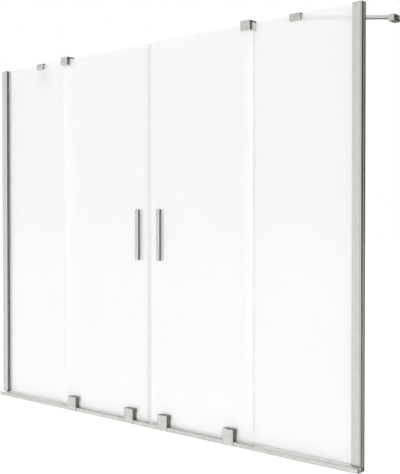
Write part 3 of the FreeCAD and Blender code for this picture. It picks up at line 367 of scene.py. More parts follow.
def frosted_glass(name, low, high):
    """Etched glass with a grain of tiny pits, and polished greenish edges round its box."""
    finish = Finish(
        name, IOR=FROST_INDEX, Transmission_Weight=FROST_CLEAR, Specular_IOR_Level=FROST_GLOSS
    )
    pits = finish.noise(finish.place(), PITS_PER_METRE, detail=2.0)
    clouds = finish.noise(finish.place(), CLOUDS_PER_METRE, detail=2.0)
    x, z = finish.axis("X"), finish.axis("Z")
    from_side = (x - (low.x + high.x) / 2).size() - (high.x - low.x) / 2
    from_top = (z - (low.z + high.z) / 2).size() - (high.z - low.z) / 2
    edge = from_side.most(from_top) > -EDGE_WIDTH
    colour = finish.blend(edge, finish.blend(clouds, FROST, FROST_THICK), EDGE_TINT)
    rough = (FROST_ROUGH + pits * PIT_ROUGH) * (1 - edge) + edge * EDGE_ROUGH
    finish.drive(Base_Color=colour, Roughness=rough, Normal=finish.bump(pits, PIT_DEPTH))
    finish.drive(Alpha=1 - edge * EDGE_CLEAR)
    return finish.material


panes = [f"{kind}_{side}" for kind in ("fixed_pane", "door_pane") for side in SIDES]
pane_glass = {name: frosted_glass("frosted_glass_" + name, *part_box(name)) for name in panes}
print("glass:", ", ".join(pane_glass))

# %% [markdown]
# The small parts are plastics. Nylon is white, a little waxy and slightly uneven from its mould.
# The upright seals are clear vinyl, and where the doors meet the face towards the room is milky. The
# strips along the rail are milky all through. Gasket and magnet are pale rubber with a dull face.
# One function with a few sizes makes them all, since they differ only in colour, gloss and grain.


# %% Plastics, vinyl and rubber
TONE_DROP = 0.96
TONES_PER_METRE = 25.0
GRAIN_ROUGH = 0.12
MILKY_ALPHA = 0.95
PAD_ALPHA = 0.6
NOSE_ALPHA = 0.6
CLEAR_ALPHA = 0.06
FRONT_DEPTH = 0.1 * MM
NYLON_SKIN = (900.0, 0.03 * MM)
VINYL_SKIN = (300.0, 0.02 * MM)
RUBBER_SKIN = (1500.0, 0.05 * MM)


def moulded(name, base, rough, skin, front=None, **constants):
    """A moulded material with a fine grain and soft changes of tone.

    Skin is the grain's lumps to the metre and their depth. Front is the Alpha of the face towards
    the room, on a seal that is clear elsewhere."""
    finish = Finish(name, **constants)
    grain_per_metre, grain_depth = skin
    grain = finish.noise(finish.place(), grain_per_metre, detail=3.0)
    tone = finish.noise(finish.place(), TONES_PER_METRE, detail=2.0)
    darker = (*(part * TONE_DROP for part in base[:3]), 1.0)
    colour = finish.blend(tone, base, darker)
    uneven = rough + (grain - 0.5) * GRAIN_ROUGH
    finish.drive(Base_Color=colour, Roughness=uneven, Normal=finish.bump(grain, grain_depth))
    if front:
        behind = finish.axis("Y") > FRONT_DEPTH
        finish.drive(Alpha=front + behind * (CLEAR_ALPHA - front))
    return finish.material


nylon = moulded("natural_nylon", grey(0.80, warmth=0.03), 0.45, NYLON_SKIN)
vinyl = moulded("clear_vinyl", grey(0.97, warmth=0.003), 0.2, VINYL_SKIN, Alpha=CLEAR_ALPHA)
nose_vinyl = moulded("nose_vinyl", grey(0.99, warmth=0.003), 0.2, VINYL_SKIN, front=NOSE_ALPHA)
milky = moulded("milky_vinyl", grey(0.98, warmth=0.005), 0.3, VINYL_SKIN, Alpha=MILKY_ALPHA)
pad_vinyl = moulded("pad_vinyl", grey(0.88, warmth=0.01), 0.35, VINYL_SKIN, Alpha=PAD_ALPHA)
gasket_rubber = moulded("gasket_rubber", grey(0.96, warmth=0.01), 0.6, RUBBER_SKIN)
magnet_rubber = moulded("magnetic_rubber", grey(0.99, warmth=0.003), 0.65, RUBBER_SKIN)
print("soft materials:", nylon.name, vinyl.name, gasket_rubber.name)

# %% [markdown]
# Steel pins and screws are turned on a lathe, which leaves rings and a brighter, harder shine than
# the plated faces beside them.

# %% Turned steel
STEEL_BRIGHT = (0.62, 0.62, 0.61, 1.0)
STEEL_DARK = (0.5, 0.5, 0.49, 1.0)
STEEL_ROUGH = 0.2
MARKS_PER_METRE = 4000.0
MARK_DEPTH = 0.008 * MM
MARK_ROUGH = 0.12


def turned_steel(name):
    """Bright steel with faint turning marks."""
    finish = Finish(name, Metallic=1.0)
    marks = finish.noise(finish.place(), MARKS_PER_METRE, detail=2.0)
    colour = finish.blend(marks, STEEL_BRIGHT, STEEL_DARK)
    rough = STEEL_ROUGH + marks * MARK_ROUGH
    finish.drive(Base_Color=colour, Roughness=rough, Normal=finish.bump(marks, MARK_DEPTH))
    return finish.material


steel = turned_steel("turned_steel")
print("steel:", steel.name)

# %% [markdown]
# Each node of the frame now gets its finish. A table from the first words of a name to a material
# keeps the choice in one place, and a node that no rule matches stops the script.

# %% Dress the frame
rod_low, rod_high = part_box("stabiliser_rod_left")
rod_turn = math.atan2(rod_high.y - rod_low.y, rod_high.x - rod_low.x)
rod_metal = {
    f"stabiliser_rod_{side}": brushed_nickel(f"brushed_nickel_rod_{side}", "x", sign * rod_turn)
    for side, sign in SIDES.items()
}
FINISHES = {
    **pane_glass,
    **rod_metal,
    "bottom_rail": rail_metal,
    "track_stops": nylon,
    "wall_channel": profile_metal,
    "pane_channel": profile_metal,
    "channel_caps": nickel_level,
    "channel_lock_screws": steel,
    "pane_gasket": gasket_rubber,
    "fixed_pane_seal": vinyl,
    "guide_saddle": guide_metal,
    "guide_liner": nylon,
    "rod_clamp_pads": pad_vinyl,
    "rod_clamp": clamp_metal,
    "rod_wall_bracket": nickel_upright,
    "grub_screws": steel,
    "outer_handle": nickel_upright,
    "inner_handle": nickel_upright,
    "handle_screws": steel,
    "handle_bushes": nylon,
    "magnet_seal": nose_vinyl,
    "magnet_strip": magnet_rubber,
    "door_edge_seal": vinyl,
    "drip_seal": milky,
    "splash_seal": milky,
    "carriage_spacers": pad_vinyl,
    "carriage_screws": steel,
    "carriage_": nickel_upright,
    "clamp_plates": nickel_level,
    "roller_axles": steel,
    "roller_": nylon,
}


def finish_of(node):
    """The material of the first rule that the node's name starts with."""
    return next(finish for start, finish in FINISHES.items() if node.startswith(start))


for name, node in frame["nodes"].items():
    node.data.materials.clear()
    node.data.materials.append(finish_of(name))
print("dressed:", len(frame["nodes"]), "nodes")

# %% [markdown]
# What repeats or follows a path is best written as a recipe with a few named sizes, because one
# recipe then serves every copy. Geometry Nodes is Blender's way to write one. The class below
# builds such a tree, runs it as a modifier and keeps only the plain mesh that comes out, so that
# nothing is left to go wrong when the piece moves or leaves Blender.

# %% A recipe in Geometry Nodes
SHARP_ANGLE = math.radians(32)
BODIES = frame["record"]["behaviour"]["bodies"]


class Recipe(Graph):
    """A Geometry Nodes tree with named inputs; its last input is always the material."""

    def __init__(self, name, **inputs):
        super().__init__(bpy.data.node_groups.new(name, "GeometryNodeTree"))
        sockets = {"Geometry": "Geometry", **inputs, "Material": "Material"}
        for label, kind in sockets.items():
            self._socket(label, kind, "INPUT")
        self._socket("Geometry", "Geometry", "OUTPUT")
        self.given = self.tree.nodes.new("NodeGroupInput")
        self.result = self.tree.nodes.new("NodeGroupOutput")

    def _socket(self, label, kind, direction):
        label = label.replace("_", " ")
        self.tree.interface.new_socket(label, in_out=direction, socket_type="NodeSocket" + kind)

    def size(self, name):
        """One of the tree's named inputs."""
        return Signal(self, self.given.outputs[name])

    def ends_in(self, geometry):
        """Turns instances into a mesh, gives it its material and hands it over."""
        mesh = self.node("GeometryNodeRealizeInstances", {}, Geometry=geometry)
        named = {"Geometry": mesh, "Material": self.size("Material")}
        self.feed(self.result.inputs[0], self.node("GeometryNodeSetMaterial", {}, **named))
        print("recipe:", self.tree.name, "with", len(self.tree.nodes), "nodes")

    def run(self, name, start, **sizes):
        """Runs the tree on a starting mesh and returns an object with the plain result."""
        piece = bpy.data.objects.new(name, start)
        scene.collection.objects.link(piece)
        modifier = piece.modifiers.new("recipe", "NODES")
        modifier.node_group = self.tree
        for item in self.tree.interface.items_tree:
            key = item.name.replace(" ", "_")
            if item.in_out == "INPUT" and key in sizes:
                modifier[item.identifier] = sizes[key]
        depsgraph = bpy.context.evaluated_depsgraph_get()
        made = piece.evaluated_get(depsgraph)
        mesh = bpy.data.meshes.new_from_object(made, depsgraph=depsgraph)
        piece.modifiers.remove(modifier)
        piece.data = mesh
        mesh.name = name
        mesh.shade_smooth()
        mesh.set_sharp_from_angle(angle=SHARP_ANGLE)
        return piece


def open_edges(piece):
    """How many edges of a piece don't join exactly two faces; a closed piece has none."""
    mesh = bmesh.new()
    mesh.from_mesh(piece.data)
    count = sum(not edge.is_manifold for edge in mesh.edges)
    mesh.free()
    return count


def piece_box(piece):
    """The lowest and highest corner of a piece's own mesh."""
    places = [vertex.co for vertex in piece.data.vertices]
    return tuple(Vector([pick(place[i] for place in places) for i in range(3)]) for pick in (min, max))


def stand_for(piece, node):
    """Puts a piece in the place of a frame node, on that node's body, and hides the node."""
    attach(piece, next(body for body, nodes in BODIES.items() if node in nodes))
    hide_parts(node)
    corners = zip(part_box(node), piece_box(piece))
    gap = max(abs(a - b) for pair in corners for a, b in zip(*pair))
    print(f"{piece.name}: {len(piece.data.polygons)} faces, {open_edges(piece)} open edges,"
          f" box within {gap / MM:.2f} mm of {node}")


# %% [markdown]
# A seal is squeezed through a die, so one cross-section holds along its whole length. The section
# is a list of corners, each with a radius and a number that says how free it is: 0 in the clip that
# grips the glass, 1 at the tip of a fin. The number stands for what the die can't give: soft vinyl
# never hangs quite straight, and a free lip wanders up to a quarter of a millimetre on its way.

# %% Sections with rounded corners
ROUNDING_STEPS = 3


def rounded_section(corners):
    """Points of an outline in metres, from corners (across, out, radius, free) in millimetres."""
    points = []
    for index, (across, out, radius, free) in enumerate(corners):
        corner = Vector((across, out))
        before = Vector(corners[index - 1][:2])
        after = Vector(corners[(index + 1) % len(corners)][:2])
        if not radius:
            points.append((corner * MM, free))
            continue
        start = corner + (before - corner).normalized() * radius
        stop = corner + (after - corner).normalized() * radius
        for step in range(ROUNDING_STEPS + 1):
            t = step / ROUNDING_STEPS
            place = start * (1 - t) ** 2 + corner * 2 * t * (1 - t) + stop * t * t
            points.append((place * MM, free))
    return points


def section_mesh(name, points):
    """The outline as a loop of edges, with how free each point is kept as an attribute."""
    count = len(points)
    mesh = bpy.data.meshes.new(name)
    loop = [(i, (i + 1) % count) for i in range(count)]
    mesh.from_pydata([(place.x, place.y, 0.0) for place, _ in points], loop, [])
    free = mesh.attributes.new("free", "FLOAT", "POINT")
    free.data.foreach_set("value", [value for _, value in points])
    return mesh


def mirrored(points):
    """The outline for the other side, turned round so that it still runs anticlockwise."""
    return [(Vector((-place.x, place.y)), free) for place, free in reversed(points)]


EDGE_GRIP = [
    (435.7, -0.3, 0.4, 0), (444.5, -0.3, 0.3, 0), (444.5, 0.4, 0.2, 0), (436.4, 0.4, 0, 0),
    (436.4, 6.6, 0, 0), (444.5, 6.6, 0.2, 0), (444.5, 7.3, 0.3, 0), (436.0, 7.3, 0.3, 0.1),
    (435.7, 9.8, 0.6, 0.5), (435.5, 12.2, 0.2, 1), (434.9, 12.2, 0.2, 1), (434.95, 9.0, 0.8, 0.5),
    (435.0, 0.5, 0.6, 0),
]
PANE_GRIP = [
    (467.0, 11.7, 0.3, 0), (475.7, 11.7, 0.3, 0), (475.85, 9.2, 0.8, 0.5), (476.0, 6.8, 0.2, 1),
    (476.6, 6.8, 0.2, 1), (476.6, 9.4, 0.8, 0.5), (476.55, 18.5, 0.6, 0), (475.8, 19.3, 0.4, 0),
    (467.0, 19.3, 0.3, 0), (467.0, 18.6, 0.2, 0), (475.1, 18.6, 0, 0), (475.1, 12.4, 0, 0),
    (467.0, 12.4, 0.2, 0),
]
MAGNET_GRIP = [
    (932.0, -0.3, 0.3, 0), (940.6, -0.3, 0.2, 0), (941.2, 0.15, 0.2, 0), (941.8, -0.3, 0.2, 0),
    (949.85, -0.3, 0.7, 0), (949.85, 7.3, 0.7, 0), (941.8, 7.3, 0.2, 0), (941.2, 6.85, 0.2, 0),
    (940.6, 7.3, 0.2, 0), (932.0, 7.3, 0.3, 0), (932.0, 6.6, 0.2, 0), (940.1, 6.6, 0, 0),
    (940.1, 3.6, 0, 0), (943.6, 3.6, 0, 0), (943.6, 6.1, 0, 0), (948.8, 6.1, 0, 0),
    (948.8, 0.9, 0, 0), (943.6, 0.9, 0, 0), (943.6, 3.4, 0, 0), (940.1, 3.4, 0, 0),
    (940.1, 0.4, 0, 0), (932.0, 0.4, 0.2, 0),
]
DRIP_GRIP = [
    (2.8, 6.0, 0.25, 1), (3.4, 6.0, 0.25, 1), (3.3, 9.5, 0.8, 0.5), (3.5, 13.2, 0.3, 0),
    (7.3, 13.2, 0.5, 0), (7.3, 21.0, 0.3, 0), (6.6, 21.0, 0.2, 0), (6.6, 13.9, 0, 0),
    (0.4, 13.9, 0, 0), (0.4, 21.0, 0.2, 0), (-0.3, 21.0, 0.3, 0), (-0.3, 13.2, 0.5, 0),
    (2.5, 13.2, 0.3, 0), (2.6, 9.5, 0.8, 0.5),
]
print("corners:", len(EDGE_GRIP), len(PANE_GRIP), len(MAGNET_GRIP), len(DRIP_GRIP))

# %% [markdown]
# The recipe of a seal: a straight line cut into steps, the section swept along it, closed ends, and
# then a gentle noise that moves each point sideways by as much as it is free.

# %% The seals
SEAL_STEP = 24 * MM
WANDER = 0.25 * MM
WANDERS_PER_METRE = 7.0
WANDER_SEED = 3.0

seal = Recipe(
    "swept_seal", Start="Vector", End="Vector", Section_Side="Vector", Steps="Int",
    Wander="Vector", Waves="Float", Seed="Float",
)
line = seal.node("GeometryNodeCurvePrimitiveLine", {}, Start=seal.size("Start"), End=seal.size("End"))
line = seal.node("GeometryNodeResampleCurve", {}, Curve=line, Count=seal.size("Steps"))
line = seal.node(
    "GeometryNodeSetCurveNormal", {"mode": "FREE"}, Curve=line, Normal=seal.size("Section Side")
)
outline = seal.node("GeometryNodeMeshToCurve", {}, Mesh=seal.size("Geometry"))
strip = seal.node(
    "GeometryNodeCurveToMesh", {}, Curve=line, Profile_Curve=outline, Fill_Caps=True
)
free = seal.node("GeometryNodeInputNamedAttribute", {"data_type": "FLOAT"}, Name="free")
wave = seal.node(
    "ShaderNodeTexNoise", {"noise_dimensions": "4D"},
    Vector=seal.node("GeometryNodeInputPosition"), W=seal.size("Seed"),
    Scale=seal.size("Waves"), Detail=1.0,
)
shift = seal.node(
    "ShaderNodeVectorMath", {"operation": "SCALE"},
    Vector=seal.size("Wander"), Scale=free * (wave - 0.5) * 2,
)
seal.ends_in(seal.node("GeometryNodeSetPosition", {}, Geometry=strip, Offset=shift))


def make_seal(node, points, start, end, across, wander):
    """One seal from a section, a path and the direction in which its fin can wander."""
    length = (end - start).length
    piece = seal.run(
        "swept_" + node, section_mesh(node, points), Start=start, End=end, Section_Side=across,
        Steps=round(length / SEAL_STEP) + 1, Wander=wander * WANDER, Waves=WANDERS_PER_METRE,
        Seed=WANDER_SEED, Material=finish_of(node),
    )
    stand_for(piece, node)


half_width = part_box("wall_channel_right")[1].x
UPRIGHT_SEALS = {"door_edge_seal": EDGE_GRIP, "fixed_pane_seal": PANE_GRIP, "magnet_seal": MAGNET_GRIP}
for name, corners in UPRIGHT_SEALS.items():
    from_wall = rounded_section(corners)
    left = [(Vector((place.x - half_width, place.y)), free) for place, free in from_wall]
    for side, points in (("left", left), ("right", mirrored(left))):
        low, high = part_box(f"{name}_{side}")
        foot, head = Vector((0, 0, low.z)), Vector((0, 0, high.z))
        make_seal(f"{name}_{side}", points, foot, head, Vector((1, 0, 0)), Vector((1, 0, 0)))
for side in SIDES:
    low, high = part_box(f"drip_seal_{side}")
    ends = Vector((low.x, 0, 0)), Vector((high.x, 0, 0))
    out = Vector((0, 1, 0))
    make_seal(f"drip_seal_{side}", rounded_section(DRIP_GRIP), *ends, out, out)

# %% [markdown]
# A roller is a nylon wheel with a groove that rides on the rail's rib. Such wheels are moulded with
# a thin web and a ring of ribs between hub and rim, which keeps the walls even. Here the section from
# bore to rim is swept round a circle, and the ribs are copies of one bar on a ring of points, joined
# with the wheel by a boolean, so that the result is one closed skin.

# %% The rollers
TREAD_RADIUS = 12.0
WHEEL_SIDES = 72
RIB_COUNT = 6
RIB_RING = 7.25 * MM
RIB_SIZE = Vector((5.3, 1.3, 8.2)) * MM
WHEEL_HALF = [
    (2.55, 0.0, 0), (2.55, 4.5, 0.3), (5.0, 4.5, 0.4), (5.1, 2.0, 0.5), (9.3, 2.0, 0.5), (9.5, 4.5, 0.4),
    (13.5, 4.5, 0.5), (13.5, 2.7, 0.4), (12.0, 2.2, 0.2), (12.0, 0.0, 0),
]

wheel = Recipe(
    "ribbed_wheel", Radius="Float", Sides="Int", Ribs="Int", Rib_Ring="Float", Rib_Size="Vector",
    Centre="Vector", Turn="Rotation",
)
circle = wheel.node(
    "GeometryNodeCurvePrimitiveCircle", {"mode": "RADIUS"},
    Resolution=wheel.size("Sides"), Radius=wheel.size("Radius"),
)
outline = wheel.node("GeometryNodeMeshToCurve", {}, Mesh=wheel.size("Geometry"))
tyre = wheel.node("GeometryNodeCurveToMesh", {}, Curve=circle, Profile_Curve=outline)
ring = wheel.node(
    "GeometryNodeMeshCircle", {"fill_type": "NONE"},
    Vertices=wheel.size("Ribs"), Radius=wheel.size("Rib Ring"),
)
outwards = wheel.node(
    "FunctionNodeAlignRotationToVector", {"axis": "X"}, Vector=wheel.node("GeometryNodeInputPosition")
)
bar = wheel.node("GeometryNodeMeshCube", {}, Size=wheel.size("Rib Size"))
ribs = wheel.node("GeometryNodeInstanceOnPoints", {}, Points=ring, Instance=bar, Rotation=outwards)
ribs = wheel.node("GeometryNodeRealizeInstances", {}, Geometry=ribs)
whole = wheel.node(
    "GeometryNodeMeshBoolean", {"operation": "UNION", "solver": "EXACT"},
    Mesh=[tyre, ribs], Self_Intersection=True,
)
wheel.ends_in(
    wheel.node(
        "GeometryNodeTransform", {}, Geometry=whole,
        Translation=wheel.size("Centre"), Rotation=wheel.size("Turn"),
    )
)
top_half = [(across - TREAD_RADIUS, out, radius, 0) for across, out, radius in WHEEL_HALF]
lower_half = [(across, -out, radius, 0) for across, out, radius, _ in reversed(top_half[1:-1])]
wheel_points = list(reversed(rounded_section(top_half + lower_half)))
axle_turn = Euler((math.radians(90), 0, 0))
for side in SIDES:
    for which in ("outer", "inner"):
        node = f"roller_{side}_{which}"
        low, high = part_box(node)
        piece = wheel.run(
            "ribbed_" + node, section_mesh(node, wheel_points), Radius=TREAD_RADIUS * MM,
            Sides=WHEEL_SIDES, Ribs=RIB_COUNT, Rib_Ring=RIB_RING, Rib_Size=RIB_SIZE,
            Centre=(low + high) / 2, Turn=axle_turn, Material=nylon,
        )
        stand_for(piece, node)

# %% [markdown]
# Screws with a hex socket hold the handles, the carriages and the rods. A screw is turned on a
# lathe, so its mesh is a stack of rings, and the socket is a ring pulled onto a hexagon. The recipe
# sets one copy on each point, lets it face the way the point says, turns it by chance, as screws
# are, and then pulls its tail out to the length that the point asks for.

# %% A turned screw
SCREW_SIDES = 24
HEX_TURN = math.tau / 6
SOCKET_FLARE = 1.22
SOCKET_TAPER = 0.02
SOCKET_CHAMFER = 0.15
DRILL_POINT = 0.2
TAIL_END = 1.0
TAIL_CHAMFER = 0.4


def turned_screw(name, rings):
    """A closed mesh from rings (height, radius, hexagonal, tail) in millimetres; poles end it."""
    shape = bmesh.new()
    tail = shape.verts.layers.float.new("tail")
    rows = []
    for height, radius, hexagonal, is_tail in rings:
        row = []
        for index in range(SCREW_SIDES if radius else 1):
            angle = math.tau * index / SCREW_SIDES
            off_middle = (angle + HEX_TURN / 2) % HEX_TURN - HEX_TURN / 2
            reach = radius / math.cos(off_middle) if hexagonal else radius
            place = (reach * math.cos(angle), reach * math.sin(angle), height)
            vertex = shape.verts.new(Vector(place) * MM)
            vertex[tail] = is_tail
            row.append(vertex)
        rows.append(row)
    for below, above in zip(rows, rows[1:]):
        for index in range(SCREW_SIDES):
            after = (index + 1) % SCREW_SIDES
            corners = [row[i % len(row)] for row, i in (
                (below, index), (below, after), (above, after), (above, index))]
            shape.faces.new(list(dict.fromkeys(corners)))
    mesh = bpy.data.meshes.new(name)
    shape.to_mesh(mesh)
    shape.free()
    return bpy.data.objects.new(name, mesh)


def socket_rings(top, hex_radius, depth):
    """The rings of a hex socket that opens at a height, with a drilled hollow at its bottom."""
    return [
        (top, hex_radius * SOCKET_FLARE, False, 0),
        (top - SOCKET_CHAMFER, hex_radius * (1 + SOCKET_TAPER), True, 0),
        (top - depth, hex_radius * (1 - SOCKET_TAPER), True, 0),
        (top - depth - DRILL_POINT, 0, False, 0),
    ]


def tail_rings(radius):
    """The rings of a chamfered tail; the recipe moves them away from the head."""
    return [
        (-TAIL_END, 0, False, 1), (-TAIL_END, radius - TAIL_CHAMFER, False, 1),
        (TAIL_CHAMFER - TAIL_END, radius, False, 1),
    ]


set_screw = turned_screw("set_screw", [
    *tail_rings(2.0), (-0.3, 2.0, False, 0), (0.0, 1.75, False, 0), *socket_rings(0.0, 1.0, 2.0),
])
cap_screw = turned_screw("cap_screw", [
    *tail_rings(3.0), (-3.0, 3.0, False, 0), (-3.0, 4.8, False, 0), (-2.8, 5.0, False, 0),
    (-0.4, 5.0, False, 0), (0.0, 4.6, False, 0), *socket_rings(0.0, 2.3, 2.0),
])
sunk_screw = turned_screw("sunk_screw", [
    *tail_rings(2.5), (-2.3, 2.5, False, 0), (-0.2, 4.6, False, 0), (0.0, 4.6, False, 0),
    *socket_rings(0.0, 1.9, 1.6),
])
print("screws:", [len(screw.data.polygons) for screw in (set_screw, cap_screw, sunk_screw)], "faces")

# %% The screws in their places
TURN_SEED = 11

screws = Recipe("screws_on_points", Screw="Object", Seed="Int")
facing = screws.node("GeometryNodeInputNamedAttribute", {"data_type": "FLOAT_VECTOR"}, Name="facing")
length = screws.node("GeometryNodeInputNamedAttribute", {"data_type": "FLOAT"}, Name="length")
tail = screws.node("GeometryNodeInputNamedAttribute", {"data_type": "FLOAT"}, Name="tail")
chance = screws.node(
    "FunctionNodeRandomValue", {"data_type": "FLOAT"}, Min=0.0, Max=math.tau, Seed=screws.size("Seed")
)
spin = screws.node("FunctionNodeAxisAngleToRotation", {}, Axis=(0, 0, 1), Angle=chance)
aim = screws.node("FunctionNodeAlignRotationToVector", {"axis": "Z"}, Vector=facing)
aim = screws.node(
    "FunctionNodeRotateRotation", {"rotation_space": "LOCAL"}, Rotation=aim, Rotate_By=spin
)
screw = screws.node("GeometryNodeObjectInfo", {}, Object=screws.size("Screw"), output="Geometry")
points = screws.node("GeometryNodeMeshToPoints", {}, Mesh=screws.size("Geometry"))
copies = screws.node(
    "GeometryNodeInstanceOnPoints", {}, Points=points, Instance=screw, Rotation=aim
)
copies = screws.node("GeometryNodeRealizeInstances", {}, Geometry=copies)
pull = screws.node(
    "ShaderNodeVectorMath", {"operation": "SCALE"},
    Vector=facing, Scale=tail * (TAIL_END * MM - length),
)
screws.ends_in(screws.node("GeometryNodeSetPosition", {}, Geometry=copies, Offset=pull))


def make_screws(node, prototype, places):
    """One piece with a screw at each place (point in metres, facing, length in metres)."""
    mesh = bpy.data.meshes.new(node)
    mesh.from_pydata([tuple(point) for point, _, _ in places], [], [])
    facing = mesh.attributes.new("facing", "FLOAT_VECTOR", "POINT")
    facing.data.foreach_set("vector", [part for _, way, _ in places for part in way])
    length = mesh.attributes.new("length", "FLOAT", "POINT")
    length.data.foreach_set("value", [size for _, _, size in places])
    piece = screws.run("turned_" + node, mesh, Screw=prototype, Seed=TURN_SEED, Material=steel)
    stand_for(piece, node)


TOWARDS_BATH = (0.0, 1.0, 0.0)
DOWN = (0.0, 0.0, -1.0)
HANDLE_SCREW_UP = 72 * MM
CARRIAGE_SCREW_OUT = 15 * MM
CARRIAGE_SCREW_Z = 50 * MM
for side in SIDES:
    low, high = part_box(f"handle_screws_{side}")
    x = (low.x + high.x) / 2
    middle = (low.z + high.z) / 2
    spots = [Vector((x, high.y, middle + up)) for up in (-HANDLE_SCREW_UP, HANDLE_SCREW_UP)]
    make_screws(
        f"handle_screws_{side}", cap_screw, [(spot, TOWARDS_BATH, high.y - low.y) for spot in spots]
    )
    low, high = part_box(f"carriage_screws_{side}")
    places = []
    for which in ("outer", "inner"):
        carriage_low, carriage_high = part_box(f"carriage_{side}_{which}")
        x = (carriage_low.x + carriage_high.x) / 2
        for out in (-CARRIAGE_SCREW_OUT, CARRIAGE_SCREW_OUT):
            spot = Vector((x + out, high.y, CARRIAGE_SCREW_Z))
            places.append((spot, TOWARDS_BATH, high.y - low.y))
    make_screws(f"carriage_screws_{side}", sunk_screw, places)

SET_SCREWS = [
    (-503.5, 23.5, 1486.0, TOWARDS_BATH, 3.5), (-479.5, 23.5, 1486.0, TOWARDS_BATH, 3.5),
    (-702.0, 37.5, 1487.5, TOWARDS_BATH, 17.5), (-670.0, 37.5, 1487.5, TOWARDS_BATH, 17.5),
    (-694.63, 29.17, 1484.5, DOWN, 6.5), (-933.85, 228.08, 1481.0, DOWN, 10.0),
]
places = [
    (Vector((x * sign, y, z)) * MM, way, size * MM)
    for sign in (1, -1) for x, y, z, way, size in SET_SCREWS
]
make_screws("grub_screws", set_screw, places)

# %% [markdown]
# The studio is a white room. What the eye meets behind the screen is plain white, but metal would
# look like chalk if the whole room were that bright. So the light that metal reflects is shaped:
# bright in front, softer overhead, dim behind and on the floor behind, and the sides of every bar
# then turn dark and show its thickness. Frosted glass and white plastic need an even light instead,
# and a little more of it for each pane that stands behind another. Lamps can't be both at once, so
# the walls and the floor of the studio answer each kind of ray with its own brightness, which a
# Light Path node tells apart. Nothing on the screen itself uses it.

# %% Studio
DIM_SIDE = (0.45, 0.893)
DIM_START = 0.0
DIM_END = 0.8
LIGHT_BRIGHT = 1.09
LIGHT_DIM = 0.03
LIGHT_OVERHEAD = 0.6
OVERHEAD_START = 0.1
OVERHEAD_END = 0.8
WALL_WHITE = 1.0
WALL_THROUGH_GLASS = 0.875
FLOOR_THROUGH_GLASS = 0.975
FACES_PER_PANE = 2
GAIN_PER_PANE = 0.4
GAIN_PER_SCATTER = 0.3
SOFT_LIGHT = 0.905
SOFT_IN_MIRROR = 0.2
SOFT_BEHIND = 1.0
SOFT_OFF_METAL = 1.5
BEHIND_SCREEN = (0.0, 0.3)
FLOOR_FADE = (0.0, 2.0)
FLOOR_SIZE = 60.0
FLOOR_BRIGHT = 1.05
FLOOR_DIM = 0.2
FLOOR_DIMS = (-0.03, 0.07)
FLOOR_WHITE = 1.0
FLOOR_GREY = 0.1
FLOOR_ROUGH = 0.9


def ramp(value, start, end):
    """A signal that climbs from 0 to 1 between two values, with soft ends."""
    share = ((value - start) / (end - start)).most(0.0).least(1.0)
    return share * share * (3 - share * 2)


def between(share, low, high):
    """A value between two others."""
    return low * (1 - share) + high * share


def by_kind_of_ray(graph, straight, glazed, mirrored, behind):
    """The brightness of a wall for each kind of ray that ends on it.

    Straight is for the eye's own look, glazed for a look through glass and mirrored for metal. A ray
    that white glass or plastic has scattered finds the soft light, and less of it when it was seen
    in metal, unless that light stands behind the screen."""
    path = {name: graph.node("ShaderNodeLightPath", output=name) for name in (
        "Is Camera Ray", "Is Diffuse Ray", "Is Transmission Ray", "Glossy Depth", "Diffuse Depth",
        "Transmission Depth")}
    scattered = path["Diffuse Depth"].least(1.0)
    in_metal = path["Glossy Depth"].least(1.0)
    in_metal_again = (path["Glossy Depth"] - 1).most(0.0).least(1.0)

    looking = path["Is Transmission Ray"] * (1 - scattered.most(in_metal))
    soft = path["Is Diffuse Ray"].most(path["Is Transmission Ray"] * scattered)
    rest = 1 - (path["Is Camera Ray"] + looking + soft).least(1.0)

    panes_behind = ((path["Transmission Depth"] - 1) / FACES_PER_PANE).floor().most(0.0)
    pane_gain = 1 + panes_behind * GAIN_PER_PANE
    scatter_gain = 1 + (path["Diffuse Depth"] - 1).most(0.0) * GAIN_PER_SCATTER
    open_light = pane_gain * scatter_gain * SOFT_LIGHT
    soft_light = between(in_metal, open_light, between(behind, SOFT_IN_MIRROR, SOFT_BEHIND))
    off_metal = between(in_metal_again, SOFT_OFF_METAL, SOFT_IN_MIRROR)
    rest_light = between(scattered, mirrored, off_metal)
    seen = path["Is Camera Ray"] * straight + looking * glazed * pane_gain
    return seen + soft * soft_light + rest * rest_light


def towards_dim_side(graph, coordinates):
    """How far a direction points to the dim side of the room, and how high."""
    x, y, z = (graph.node("ShaderNodeSeparateXYZ", {}, coordinates, output=axis) for axis in "XYZ")
    return x * DIM_SIDE[0] + y * DIM_SIDE[1], z


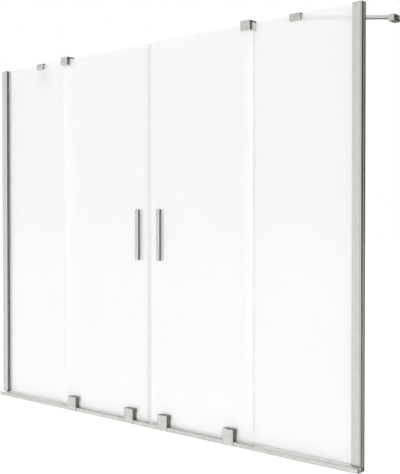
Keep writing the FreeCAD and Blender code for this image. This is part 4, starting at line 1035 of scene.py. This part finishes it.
def studio_world():
    """White to look at; in metal, bright in front, softer overhead and dim behind."""
    world = bpy.data.worlds.new("studio")
    graph = Shading(world, "Background")
    towards, height = towards_dim_side(graph, graph.node("ShaderNodeTexCoord"))
    around = between(ramp(towards, DIM_START, DIM_END), LIGHT_BRIGHT, LIGHT_DIM)
    light = between(ramp(height, OVERHEAD_START, OVERHEAD_END), around, LIGHT_OVERHEAD)
    behind = ramp(towards, *BEHIND_SCREEN)
    graph.drive(Strength=by_kind_of_ray(graph, WALL_WHITE, WALL_THROUGH_GLASS, light, behind))
    graph.shader.inputs["Color"].default_value = (1.0, 1.0, 1.0, 1.0)
    world.cycles.sampling_method = "NONE"
    return world


def studio_floor():
    """A plain white floor, dim behind the screen where only metal sees it."""
    mesh = bpy.data.meshes.new("floor")
    half = FLOOR_SIZE / 2
    corners = [(-half, -half, 0), (half, -half, 0), (half, half, 0), (-half, half, 0)]
    mesh.from_pydata(corners, [], [(0, 1, 2, 3)])
    floor = bpy.data.objects.new("floor", mesh)
    scene.collection.objects.link(floor)
    finish = Finish(
        "floor_white", Base_Color=grey(FLOOR_GREY), Emission_Color=grey(1.0), Roughness=FLOOR_ROUGH
    )
    depth = finish.axis("Y")
    behind = ramp(depth, *FLOOR_DIMS)
    around = between(behind, FLOOR_BRIGHT, FLOOR_DIM)
    glazed = between(ramp(depth, *FLOOR_FADE), FLOOR_THROUGH_GLASS, WALL_THROUGH_GLASS)
    finish.drive(Emission_Strength=by_kind_of_ray(finish, FLOOR_WHITE, glazed, around, behind))
    finish.material.cycles.emission_sampling = "NONE"
    mesh.materials.append(finish.material)
    floor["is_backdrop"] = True


scene.world = studio_world()
studio_floor()
print("world:", scene.world.name)

# %% [markdown]
# The camera stands to the right at chest height and looks along the screen towards its left end,
# almost level. A long lens keeps the verticals nearly parallel.

# %% Camera
CAMERA_PLACE = (2.3130, -2.3481, 0.7954)
CAMERA_TURN = 41.065
CAMERA_DIP = 0.883
CAMERA_LENS = 63.62
CAMERA_SENSOR = 36.0


def make_camera():
    """The camera; its turn and its dip are in degrees, its lens and sensor in millimetres."""
    data = bpy.data.cameras.new("camera")
    data.lens = CAMERA_LENS
    data.sensor_width = CAMERA_SENSOR
    camera = bpy.data.objects.new("camera", data)
    camera.location = CAMERA_PLACE
    camera.rotation_euler = (math.radians(90 - CAMERA_DIP), 0, math.radians(CAMERA_TURN))
    scene.collection.objects.link(camera)
    return camera


scene.camera = make_camera()
scene.view_settings.view_transform = "Standard"
print("camera at", tuple(round(part, 3) for part in scene.camera.location))

# %% Finish
low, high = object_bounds()
print("size:", [round(b - a, 4) for a, b in zip(low, high)])
